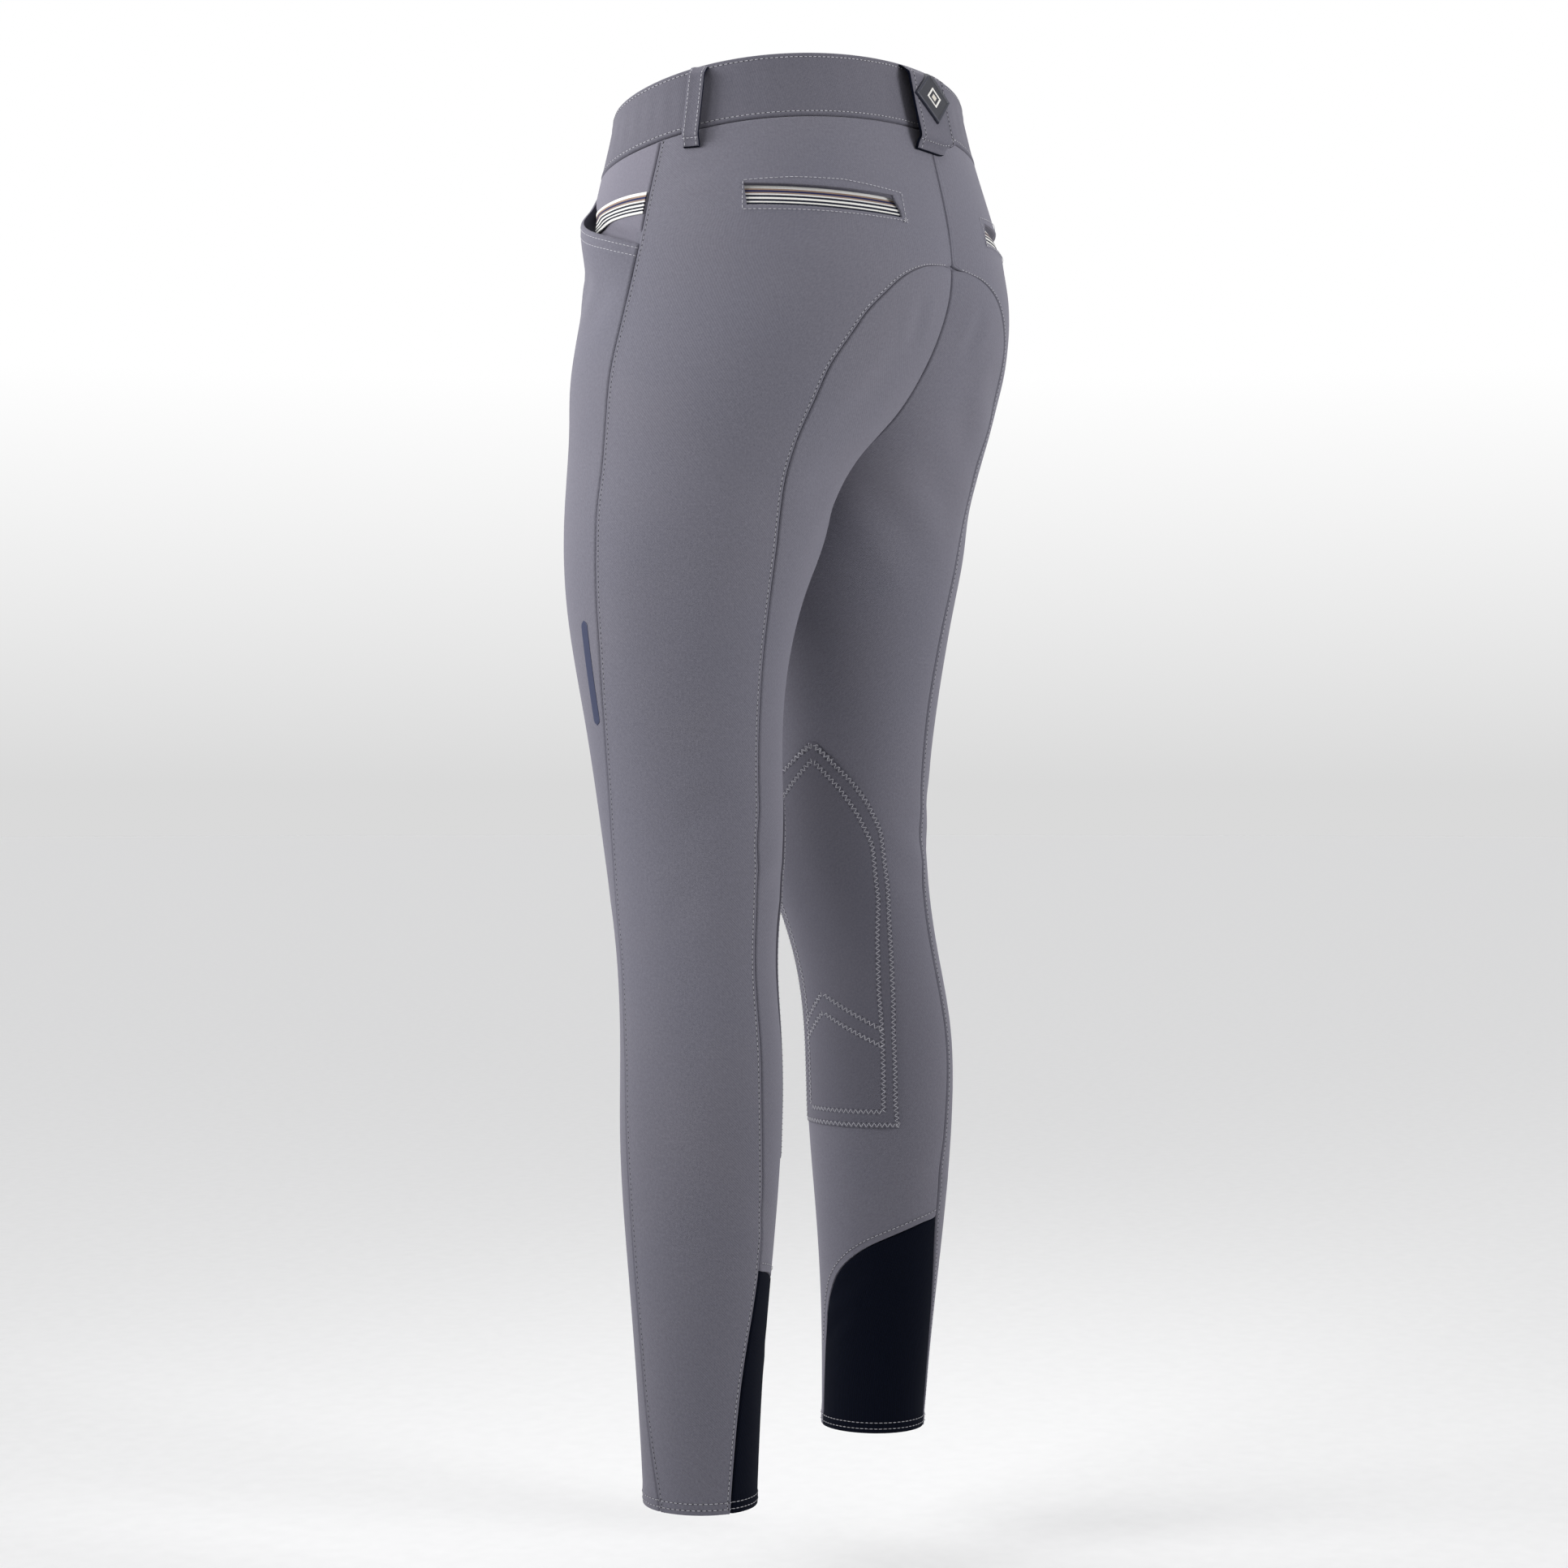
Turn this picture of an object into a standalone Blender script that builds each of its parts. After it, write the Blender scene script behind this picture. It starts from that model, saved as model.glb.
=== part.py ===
"""Riding breeches, worn shape and hollow, cut as the real garment is cut.

Metres, +Z up, the front of the garment towards -Y and the wearer's left towards +X.
The origin is the middle of the waist, where the wearer holds the breeches up.
Every half of the body is a closed outline at each height, clipped where the halves meet.
A place on the cloth is named by an angle round its half and a height above the hem:
0 inner leg, 90 front, 180 outer side, 270 back.
"""
import math

import bmesh
import bpy
import numpy as np

# ---- driving sizes ---------------------------------------------------------------
CLOTH = 0.0020            # wall of the stretch cloth
THIN = 0.0010             # wall of a woven ribbon
PATCH_T = 0.0012          # wall of a knee patch
PATCH_LAY = 0.00145       # under a knee patch, clear of the panel's flat facets
SEAM_GAP = 0.0003         # between two pieces at a seam
LAY_GAP = 0.00045         # under a piece that lies on another
CROTCH_H = 0.690          # height of the crotch over the hem
WAIST_H = 0.926           # middle of the waistband over the hem
WAIST_Y = 0.0130          # middle of the waist, fore and aft
BAND_W = 0.0440           # width of the waistband
BAND_SEAM_H = 0.9050      # waist seam at the side
BAND_RISE = 0.0215        # waist seam: higher by this at the back, lower at the front
STANCE = 0.0180           # left hem this far back, right hem this far forward
POCKET_GAPE = 0.0100      # front pocket edge stands this far off
LOOP_W = 0.0115           # belt loop
LOOP_STAND = 0.0035
TAB_W = 0.0420            # wide loop at the centre back
TAB_STAND = 0.0050
BADGE_W = 0.0410
BADGE_H = 0.0370
BADGE_T = 0.0018
BUTTON_R = 0.0085
BUTTON_T = 0.0032

# Outline of the left half. Heights over the hem; centre across and fore-and-aft;
# half widths outwards and inwards; half depths; fullness of the inner and outer corners.
SECTION_COLUMNS = ("h", "cx", "cy", "out", "inn", "front", "back", "sq_in", "sq_out")
SECTIONS = [
    (0.000, 0.1320, 0.006, 0.037, 0.036, 0.038, 0.039, 0.00, 0.00),
    (0.080, 0.1345, 0.008, 0.041, 0.040, 0.042, 0.043, 0.00, 0.00),
    (0.160, 0.1340, 0.009, 0.046, 0.047, 0.048, 0.050, 0.00, 0.00),
    (0.240, 0.1300, 0.009, 0.050, 0.053, 0.054, 0.056, 0.00, 0.00),
    (0.300, 0.1250, 0.008, 0.050, 0.053, 0.055, 0.056, 0.00, 0.00),
    (0.360, 0.1160, 0.001, 0.050, 0.052, 0.056, 0.054, 0.00, 0.00),
    (0.430, 0.1010, -0.010, 0.057, 0.057, 0.063, 0.062, 0.00, 0.00),
    (0.520, 0.1010, -0.015, 0.066, 0.063, 0.069, 0.069, 0.00, 0.00),
    (0.600, 0.0980, -0.015, 0.078, 0.074, 0.083, 0.082, 0.00, 0.00),
    (0.660, 0.0915, -0.010, 0.087, 0.086, 0.092, 0.091, 0.04, 0.00),
    (0.690, 0.0880, -0.006, 0.089, 0.088, 0.095, 0.094, 0.07, 0.01),
    (0.720, 0.0790, -0.003, 0.099, 0.098, 0.098, 0.105, 0.12, 0.01),
    (0.750, 0.0660, -0.002, 0.112, 0.113, 0.099, 0.119, 0.14, 0.02),
    (0.780, 0.0500, 0.001, 0.126, 0.116, 0.100, 0.131, 0.12, 0.03),
    (0.810, 0.0360, 0.004, 0.138, 0.114, 0.102, 0.138, 0.07, 0.03),
    (0.840, 0.0250, 0.006, 0.147, 0.115, 0.104, 0.135, 0.05, 0.04),
    (0.870, 0.0160, 0.006, 0.151, 0.120, 0.099, 0.129, 0.03, 0.05),
    (0.900, 0.0090, 0.006, 0.150, 0.125, 0.096, 0.121, 0.02, 0.05),
    (0.930, 0.0040, 0.006, 0.148, 0.130, 0.094, 0.1135, 0.01, 0.04),
    (0.980, 0.0010, 0.006, 0.141, 0.135, 0.091, 0.103, 0.01, 0.03),
]

# Seams that run down the leg: height, angle.
SIDE_SEAM = [(0.00, 172), (0.06, 158), (0.14, 153), (0.22, 151), (0.30, 146), (0.36, 143), (0.42, 149),
             (0.48, 158), (0.55, 166), (0.62, 169), (0.68, 168), (0.74, 171), (0.80, 176), (0.85, 180),
             (0.98, 183)]
BACK_SEAM = [(0.00, 247), (0.05, 252), (0.10, 259), (0.16, 269), (0.22, 266), (0.30, 262), (0.36, 263),
             (0.43, 260), (0.50, 263), (0.55, 263), (0.60, 260), (0.66, 255), (0.72, 251), (0.76, 249),
             (0.80, 249)]
INNER_SEAM = [(0.00, 60), (0.20, 62), (0.40, 62), (0.50, 60), (0.58, 51), (0.64, 34), (0.672, 15), (0.690, 0)]

# Heights of the nodes that neighbouring panels share.
SIDE_NODES = (0, .04, .07, .09, .11, .125, .14, .15, .16, .17, .20, .24, .28, .33, .38, .43, .48, .53, .58, .63,
              .67, .70, .73, .76, .79, .815, .836, .846, .857, .872, .888)
BACK_NODES = (0, .03, .05, .07, .09, .11, .13, .145, .16, .18, .20, .24, .28, .33, .38, .43, .48, .53, .58,
              .63, .67, .70, .73, .76)
INNER_NODES = (0, .04, .07, .09, .11, .125, .14, .15, .16, .17, .20, .24, .28, .33, .38, .43, .48, .53, .58, .63,
               .665, .69)
FRONT_RISE_NODES = (.712, .745, .79, .835)
BACK_RISE_NODES = (.703, .730, .757, .783, .803, .816, .826)
# The curved top of the seat panel, from the back seam to the centre back: angle, height.
SEAT_EDGE = [(249.5, .785), (253.5, .805), (259.0, .8185), (267.5, .8270)]
SEAT_TOP_H = 0.8325
YOKE_NODES = (.862, .895)
# Upper edge of the stretch cuff, from the hem at the inner front up to the back seam.
CUFF_EDGE = [(405, 0.000), (395, .060), (385, .096), (371, .1165), (355, .1295), (338, .139), (320, .146),
             (303, .1515), (287, .156)]
CUFF_TOP_H = 0.160
# Mouth of the front pocket, from the side seam to the waist seam.
MOUTH_EDGE = [(169, .8415), (159, .8480), (149, .8580), (140, .8710)]
MOUTH_TOP_T = 133


def spline(rows, key=0, value=1):
    """A smooth curve through the rows of a table, as a function of one column."""
    xs = np.array([r[key] for r in rows], float)
    ys = np.array([r[value] for r in rows], float)
    n = len(xs)
    gap = np.diff(xs)
    grid = np.zeros((n, n))
    rhs = np.zeros(n)
    grid[0, 0] = 1
    grid[-1, -1] = 1
    for i in range(1, n - 1):
        grid[i, i - 1:i + 2] = (gap[i - 1], 2 * (gap[i - 1] + gap[i]), gap[i])
        rhs[i] = 6 * ((ys[i + 1] - ys[i]) / gap[i] - (ys[i] - ys[i - 1]) / gap[i - 1])
    bend = np.linalg.solve(grid, rhs)

    def curve(x):
        i = min(max(int(np.searchsorted(xs, x)) - 1, 0), n - 2)
        p = (xs[i + 1] - x) / gap[i]
        q = (x - xs[i]) / gap[i]
        pull = ((p ** 3 - p) * bend[i] + (q ** 3 - q) * bend[i + 1]) * gap[i] ** 2 / 6
        return float(p * ys[i] + q * ys[i + 1] + pull)
    return curve


SECTION = {name: spline(SECTIONS, 0, k) for k, name in enumerate(SECTION_COLUMNS) if k}
side_t = spline(SIDE_SEAM)
back_t = spline(BACK_SEAM)
inner_t = spline(INNER_SEAM)


def ease(x):
    x = min(max(x, 0.0), 1.0)
    return x * x * (3 - 2 * x)


def outline(t, h):
    """Place across and fore-and-aft on the left half, before the stance."""
    c = math.cos(math.radians(t))
    s = math.sin(math.radians(t))
    width = SECTION["inn"](h) + (SECTION["out"](h) - SECTION["inn"](h)) * (1 - c) / 2
    depth = SECTION["back"](h) + (SECTION["front"](h) - SECTION["back"](h)) * (1 + s) / 2
    full = 1 + SECTION["sq_in" if c > 0 else "sq_out"](h) * (2 * s * c) ** 2
    return SECTION["cx"](h) - width * c * full, SECTION["cy"](h) - depth * s * full


def middle(h, back, x=0.0):
    """The angle where the outline comes to a distance x from the middle plane."""
    low, high = (250.0, 360.0) if back else (110.0, 0.0)
    for _ in range(36):
        mid = (low + high) / 2
        if outline(mid, h)[0] > x:
            low = mid
        else:
            high = mid
    return low


def on_form(t, h, side):
    x, y = outline(t, h)
    y += side * STANCE * ease(1 - h / CROTCH_H)
    return np.array((side * x, y - WAIST_Y, h - WAIST_H))


def facing_out(t, h, side):
    """Outward direction of the cloth."""
    dt = on_form(t + 0.5, h, side) - on_form(t - 0.5, h, side)
    dh = on_form(t, h + 0.002, side) - on_form(t, h - 0.002, side)
    n = np.cross(dt, dh) * side
    return n / np.linalg.norm(n)


def waist_seam(t):
    return BAND_SEAM_H - BAND_RISE * math.sin(math.radians(t))


def material(name, colour, roughness, metallic=0.0):
    m = bpy.data.materials.new(name)
    m.use_nodes = True
    shader = m.node_tree.nodes["Principled BSDF"]
    shader.inputs["Base Color"].default_value = (*colour, 1.0)
    shader.inputs["Roughness"].default_value = roughness
    shader.inputs["Metallic"].default_value = metallic
    return m


def solid(name, verts, faces, colour, roughness):
    """One closed body with its faces outwards and its own material."""
    bm = bmesh.new()
    made = [bm.verts.new(v) for v in verts]
    for f in faces:
        bm.faces.new([made[i] for i in f])
    bmesh.ops.recalc_face_normals(bm, faces=bm.faces)
    mesh = bpy.data.meshes.new(name)
    bm.to_mesh(mesh)
    bm.free()
    ob = bpy.data.objects.new(name, mesh)
    bpy.context.scene.collection.objects.link(ob)
    mesh.materials.append(material(name + "_finish", colour, roughness))
    return ob


def wall(name, outer, inner, colour, roughness, window=None):
    """A closed wall between two equal grids of points, with an optional window of left-out cells."""
    rows, cols = outer.shape[:2]
    verts = []
    index = {}

    def at(layer, i, j):
        key = (layer, i, j)
        if key not in index:
            index[key] = len(verts)
            verts.append(tuple((outer if layer == 0 else inner)[i, j]))
        return index[key]

    def kept(i, j):
        if not (0 <= i < rows - 1 and 0 <= j < cols - 1):
            return False
        return window is None or not (window[0] <= i < window[1] and window[2] <= j < window[3])

    faces = []
    for i in range(rows - 1):
        for j in range(cols - 1):
            if not kept(i, j):
                continue
            ring = ((i, j), (i, j + 1), (i + 1, j + 1), (i + 1, j))
            for tri in ((0, 1, 2), (0, 2, 3)):
                faces.append([at(0, *ring[k]) for k in tri])
                faces.append([at(1, *ring[k]) for k in reversed(tri)])
            beyond = ((i - 1, j), (i, j + 1), (i + 1, j), (i, j - 1))
            for k, cell in enumerate(beyond):
                if not kept(*cell):
                    a, b = ring[k], ring[(k + 1) % 4]
                    faces.append([at(1, *a), at(1, *b), at(0, *b)])
                    faces.append([at(1, *a), at(0, *b), at(0, *a)])
    return solid(name, verts, faces, colour, roughness)


def tuck(grid, amount):
    """Draw the four edges of a grid in by half a seam gap."""
    out = grid.copy()
    rows, cols = grid.shape[:2]
    edges = [[(i, 0, i, 1) for i in range(rows)], [(i, cols - 1, i, cols - 2) for i in range(rows)],
             [(0, j, 1, j) for j in range(cols)], [(rows - 1, j, rows - 2, j) for j in range(cols)]]
    for edge in edges:
        line = [grid[e[0], e[1]] for e in edge]
        for k, (i, j, i2, j2) in enumerate(edge):
            along = line[min(k + 1, len(line) - 1)] - line[max(k - 1, 0)]
            along = along / np.linalg.norm(along)
            into = grid[i2, j2] - grid[i, j]
            into = into - along * into.dot(along)
            out[i, j] += into / np.linalg.norm(into) * amount
    return out


def panel(name, places, side, colour, roughness, lift=None, thick=CLOTH, window=None, edge=SEAM_GAP / 2):
    """A cloth wall over a grid of (angle, height) places; lift gives its stand-off from the form."""
    form = np.array([[on_form(t, h, side) for t, h in row] for row in places])
    out = np.array([[facing_out(t, h, side) for t, h in row] for row in places])
    rise = np.array([[lift(t, h) if lift else 0.0 for t, h in row] for row in places])
    outer = tuck(form, edge) + out * rise[..., None]
    outer[..., 0] = side * np.maximum(side * outer[..., 0], SEAM_GAP / 2)
    inner = outer - out * thick
    return wall(name, outer, inner, colour, roughness, window)


def across(left, right, shares):
    """Rows of places between two seams that have the same number of nodes."""
    return [[(a[0] + (b[0] - a[0]) * u, a[1] + (b[1] - a[1]) * u) for u in shares]
            for a, b in zip(left, right)]


def even(n):
    return [k / n for k in range(n + 1)]


# ---- seams as lists of (angle, height) --------------------------------------------
def side_line():
    line = [(side_t(h), h) for h in SIDE_NODES]
    top = side_t(0.905)
    return line + [(top, waist_seam(top))]


def seat_line():
    """Back seam up the leg, then round the seat to the centre back, then up to the waist."""
    line = [(back_t(h), h) for h in BACK_NODES] + list(SEAT_EDGE)
    line += [(middle(SEAT_TOP_H, True), SEAT_TOP_H)]
    line += [(middle(h, True), h) for h in YOKE_NODES]
    return line + [(middle(0.9265, True), 0.9265)]


def inner_line():
    return [(inner_t(h), h) for h in INNER_NODES]


def front_rise_line():
    line = [(middle(h, False), h) for h in FRONT_RISE_NODES]
    top = middle(0.8835, False)
    return line + [(top, waist_seam(top))]


def back_rise_line():
    return [(middle(h, True), h) for h in BACK_RISE_NODES]


def mouth_height(t):
    """Height of the front pocket's mouth at an angle, from the side seam to the waist seam."""
    start = (side_t(.836), .836)
    stop = (MOUTH_TOP_T, waist_seam(MOUTH_TOP_T))
    nodes = [start] + list(MOUTH_EDGE) + [stop]
    for (t0, h0), (t1, h1) in zip(nodes, nodes[1:]):
        if t1 <= t <= t0:
            return h0 + (h1 - h0) * (t0 - t) / (t0 - t1)
    return stop[1] if t < MOUTH_TOP_T else start[1]


def gape(t, h):
    """How far the pocket's mouth stands off: most in the middle of the edge, fading below it."""
    along = (side_t(.836) - t) / (side_t(.836) - MOUTH_TOP_T)
    if not 0 < along < 1:
        return 0.0
    below = max(mouth_height(t) - h, 0.0)
    return POCKET_GAPE * math.sin(math.pi * along) ** 1.3 * ease(1 - below / 0.045)


# ---- the pieces --------------------------------------------------------------------
GREY = (0.150, 0.146, 0.172)
GREY_LIGHT = (0.185, 0.180, 0.208)
NAVY = (0.012, 0.015, 0.030)
RIBBON = (0.620, 0.600, 0.560)


def front_panel(name, side):
    left = side_line()[:27]
    right = inner_line() + front_rise_line()
    shares = [0, .11, .22, .33, .43, .51, .63, .75, .87, 1]
    places = across(left, right, shares)
    top_t = right[-1][0]
    top = []
    for j, u in enumerate(shares):
        if j == 0:
            top.append(left[-1])
        elif j < 5:
            top.append(MOUTH_EDGE[j - 1])
        else:
            t = MOUTH_TOP_T + (top_t - MOUTH_TOP_T) * (u - shares[5]) / (1 - shares[5])
            top.append((t, waist_seam(t)))
    for back, share in enumerate((1.0, 0.80, 0.55, 0.30, 0.12)):
        row = places[-1 - back]
        flat = across(left[-1:], right[-1:], shares)[0]
        for j in range(len(shares)):
            row[j] = (row[j][0] + (top[j][0] - flat[j][0]) * share, row[j][1] + (top[j][1] - flat[j][1]) * share)
    return panel(name, places, side, GREY, 0.82, lift=gape)


def pocket_rows(left, right, shares):
    """Rows that run level through the back pocket and then drop to the seat seam."""
    places = across(left, right, shares)
    elbow = 7
    for back, level in ((3, True), (4, True)):
        row = places[-1 - back + 1]
        h = left[-1 - back + 1][1]
        for j in range(1, elbow + 1):
            row[j] = (row[j][0], h)
        for j in range(elbow + 1, len(row) - 1):
            share = (shares[j] - shares[elbow]) / (1 - shares[elbow])
            row[j] = (row[j][0], h + (right[-1 - back + 1][1] - h) * share)
    return places


def side_panel(name, side):
    shares = [0, .10, .20, .31, .415, .52, .63, .735, .83, .92, 1]
    left, right = side_line(), seat_line()
    places = pocket_rows(left, right, shares)
    for back, share in enumerate((1.0, 0.5)):
        row = places[-1 - back]
        for j in range(1, len(row) - 1):
            t = row[j][0]
            flat = left[-1][1] + (right[-1][1] - left[-1][1]) * shares[j]
            row[j] = (t, row[j][1] + (waist_seam(t) - flat) * share)
    low = len(left) - 4
    return panel(name, places, side, GREY, 0.82, window=(low, low + 1, 3, 7))


def inner_panel(name, side):
    tip_t, tip_h = SEAT_EDGE[-1]
    tip = (tip_t + 0.6 * (middle(SEAT_TOP_H, True) - tip_t), tip_h + 0.6 * (SEAT_TOP_H - tip_h) - 0.0003)
    left = list(CUFF_EDGE) + seat_line()[8:28] + [tip]
    right = [(t + 360, h) for t, h in inner_line()] + back_rise_line()
    right += [(middle(.8300, True), .8300)]
    return panel(name, across(left, right, even(10)), side, GREY, 0.82)


def cuff_panel(name, side):
    left = [(back_t(h), h) for h in BACK_NODES[:9]]
    corner = CUFF_EDGE[1]
    rise = [(CUFF_EDGE[0][0] + (corner[0] - CUFF_EDGE[0][0]) * k / 8, corner[1] * k / 8) for k in range(9)]
    top = [left[-1]] + list(reversed(CUFF_EDGE))[:-1]
    base = [(left[0][0] + (rise[0][0] - left[0][0]) * k / 8, 0.0) for k in range(9)]
    places = []
    for i in range(9):
        v = i / 8
        row = []
        for j in range(9):
            u = j / 8
            place = []
            for k in range(2):
                ruled = (1 - v) * base[j][k] + v * top[j][k] + (1 - u) * left[i][k] + u * rise[i][k]
                ruled -= (1 - u) * ((1 - v) * base[0][k] + v * top[0][k])
                ruled -= u * ((1 - v) * base[-1][k] + v * top[-1][k])
                place.append(ruled)
            row.append(tuple(place))
        places.append(row)
    return panel(name, places, side, NAVY, 0.90, edge=SEAM_GAP * 0.9)


# Outline of the knee patch: height, rear angle, front angle.
PATCH_ROWS = [(0.228, 312, 408), (0.256, 314, 406), (0.290, 314, 406), (0.330, 310, 408), (0.370, 304, 410),
              (0.410, 299, 410), (0.440, 300, 404), (0.460, 307, 396), (0.478, 318, 381), (0.494, 332, 364)]
PATCH_TOP = (347, 0.509)


def knee_patch(name, side):
    places = []
    for h, rear, fore in PATCH_ROWS:
        places.append([(rear + (fore - rear) * k / 8, h) for k in range(9)])
    places.append([(PATCH_TOP[0] - 2 + 4 * k / 8, PATCH_TOP[1]) for k in range(9)])
    return panel(name, places, side, GREY, 0.85, lift=lambda t, h: PATCH_LAY + PATCH_T, thick=PATCH_T)


def pocket_facing(name, side):
    """The cloth seen inside the front pocket; it sinks under the front panel's edge."""
    line = side_line()
    heights = line[26:]
    places = []
    steps = (0, .2, .4, .6, .8, 1)
    for i, (t0, h0) in enumerate(heights):
        v = i / (len(heights) - 1)
        row = []
        for u in steps:
            t = t0 + (126 - t0) * u
            low = mouth_height(t) - 0.012 * ease(u * 4)
            high = waist_seam(t)
            if t < MOUTH_TOP_T:
                low = waist_seam(MOUTH_TOP_T) - 0.022
            share = (h0 - heights[0][1]) / (heights[-1][1] - heights[0][1])
            row.append((t, low + (high - low) * share) if u else (t0, h0))
        places.append(row)

    def sink(t, h):
        past = (mouth_height(t) + 0.012 - h) / 0.010
        if t < MOUTH_TOP_T + 4:
            past = 1.0
        return -(CLOTH + 0.0014) * ease(past)
    return panel(name, places, side, GREY_LIGHT, 0.80, lift=sink, thick=0.0015)


def front_ribbon(name, side):
    places = []
    for base in (0.8555, 0.8700):
        row = []
        for k in range(6):
            t = (side_t(base) - 0.6) + (152 - side_t(base)) * k / 5
            row.append((t, base - 0.006 * (k / 5) ** 2))
        places.append(row)

    def lie(t, h):
        past = (mouth_height(t) + 0.012 - h) / 0.010
        return LAY_GAP + THIN + 0.0002 - (CLOTH + 0.0014) * ease(past) * 0.6
    return panel(name, places, side, RIBBON, 0.70, lift=lie, thick=THIN)


def back_ribbon(name, side):
    places = [[(t, h) for t in (208, 211.7, 222, 232.5, 243.5, 254, 258)] for h in (0.8530, 0.8762)]
    return panel(name, places, side, RIBBON, 0.70, lift=lambda t, h: -CLOTH - 0.0014, thick=THIN)


def waistband():
    """One band right round, its left end lapping over the right at the centre front."""
    outer, inner = [[] for _ in range(2)], [[] for _ in range(2)]
    steps = 23
    walk = [(1, 104 + (middle(0.93, True) - 104) * k / steps) for k in range(steps)]
    walk = [(-1, 107), (-1, 97), (0, 0), (1, 97)] + walk
    walk += [(0, 1)]
    walk += [(-1, t) for s, t in reversed(walk[4:-1])] + [(-1, 96), (2, 0)]
    for k, (half, t) in enumerate(walk):
        for v in range(2):
            if half == 0 or half == 2:
                back = (half == 0 and t == 1)
                h = waist_seam(270 if back else 90) + BAND_W * v
                t_here, side = middle(h, back), (-1 if half == 2 else 1)
            else:
                t_here, side = t, half
                h = waist_seam(t) + BAND_W * v
            if v == 0:
                h += SEAM_GAP * 1.2
            p = on_form(t_here, h, side)
            n = facing_out(t_here, h, side)
            if half == 0:
                p[0] = 0.0
                n[0] = 0.0
            if half == 2:
                p[0] = -SEAM_GAP / 2
            lap = CLOTH + LAY_GAP if k <= 2 else 0.0
            if half == 1 and k == 3:
                lap = CLOTH + LAY_GAP
            outer[v].append(p + n * lap)
            inner[v].append(p + n * (lap - CLOTH))
    return wall("waistband", np.array(outer), np.array(inner), GREY, 0.80)


def place_at(x, h, back=True):
    """Point and outward direction of the waist at a distance x from the middle plane."""
    side = 1 if x >= 0 else -1
    t = middle(h, back, abs(x))
    n = facing_out(t, h, side)
    if abs(x) < 0.004:
        n = np.array((0.0, n[1], n[2]))
    return on_form(t, h, side), n / np.linalg.norm(n)


def strap(name, centre, width, h_top, h_low, stand, cols, thick):
    """A loop of cloth sewn at its two ends and standing off the band between them."""
    rows = 7
    outer = np.zeros((rows, cols + 1, 3))
    inner = np.zeros((rows, cols + 1, 3))
    for i in range(rows):
        v = i / (rows - 1)
        for j in range(cols + 1):
            p, n = centre((j / cols - 0.5) * width, h_low + (h_top - h_low) * v)
            rise = LAY_GAP + stand * math.sin(math.pi * v) ** 0.7 if 0 < i < rows - 1 else LAY_GAP
            inner[i, j] = p + n * rise
            outer[i, j] = p + n * (rise + thick)
    return wall(name, outer, inner, GREY_LIGHT, 0.80)


def belt_loop(name, side, t_mid):
    def centre(across_by, h):
        p0 = on_form(t_mid, h, side)
        step = on_form(t_mid + 1, h, side) - p0
        p = on_form(t_mid + across_by / np.linalg.norm(step), h, side)
        return p, facing_out(t_mid, h, side)
    top = waist_seam(t_mid) + BAND_W - 0.0015
    return strap(name, centre, LOOP_W, top, waist_seam(t_mid) - 0.013, LOOP_STAND, 1, CLOTH)


def back_tab():
    def centre(across_by, h):
        return place_at(across_by + 0.0010, h)
    return strap("back_tab", centre, TAB_W, waist_seam(270) + BAND_W - 0.002, waist_seam(270) - 0.0165,
                 TAB_STAND, 4, CLOTH)


def badge():
    """A moulded rubber rhombus on the tab, bowed with it."""
    mid_h = waist_seam(270) + 0.0200
    corners = [(0, BADGE_H / 2), (BADGE_W / 2, 0), (0, -BADGE_H / 2), (-BADGE_W / 2, 0)]
    ring = []
    for k in range(4):
        (x0, z0), (x1, z1) = corners[k], corners[(k + 1) % 4]
        ring += [(x0 + (x1 - x0) * s, z0 + (z1 - z0) * s) for s in (0, 0.5)]
    places = [(0.0, 0.0)] + [(x * 0.5, z * 0.5) for x, z in ring] + ring
    low_h, top_h = waist_seam(270) - 0.0165, waist_seam(270) + BAND_W - 0.002
    verts = []
    for layer in (0, 1):
        for x, z in places:
            h = mid_h + z
            p, n = place_at(x * 0.98 + 0.0010, h)
            v = (h - low_h) / (top_h - low_h)
            rise = LAY_GAP + TAB_STAND * math.sin(math.pi * v) ** 0.7 + CLOTH + 0.0006
            verts.append(p + n * (rise + layer * BADGE_T))
    faces = []
    n = len(places)
    for k in range(8):
        a, b = 1 + k, 1 + (k + 1) % 8
        c, d = 9 + k, 9 + (k + 1) % 8
        for tri in ((0, a, b), (a, c, d), (a, d, b)):
            faces.append(list(tri))
            faces.append([n + q for q in reversed(tri)])
        faces.append([c, n + c, n + d])
        faces.append([c, n + d, d])
    return solid("badge", verts, faces, NAVY, 0.55)


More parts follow.
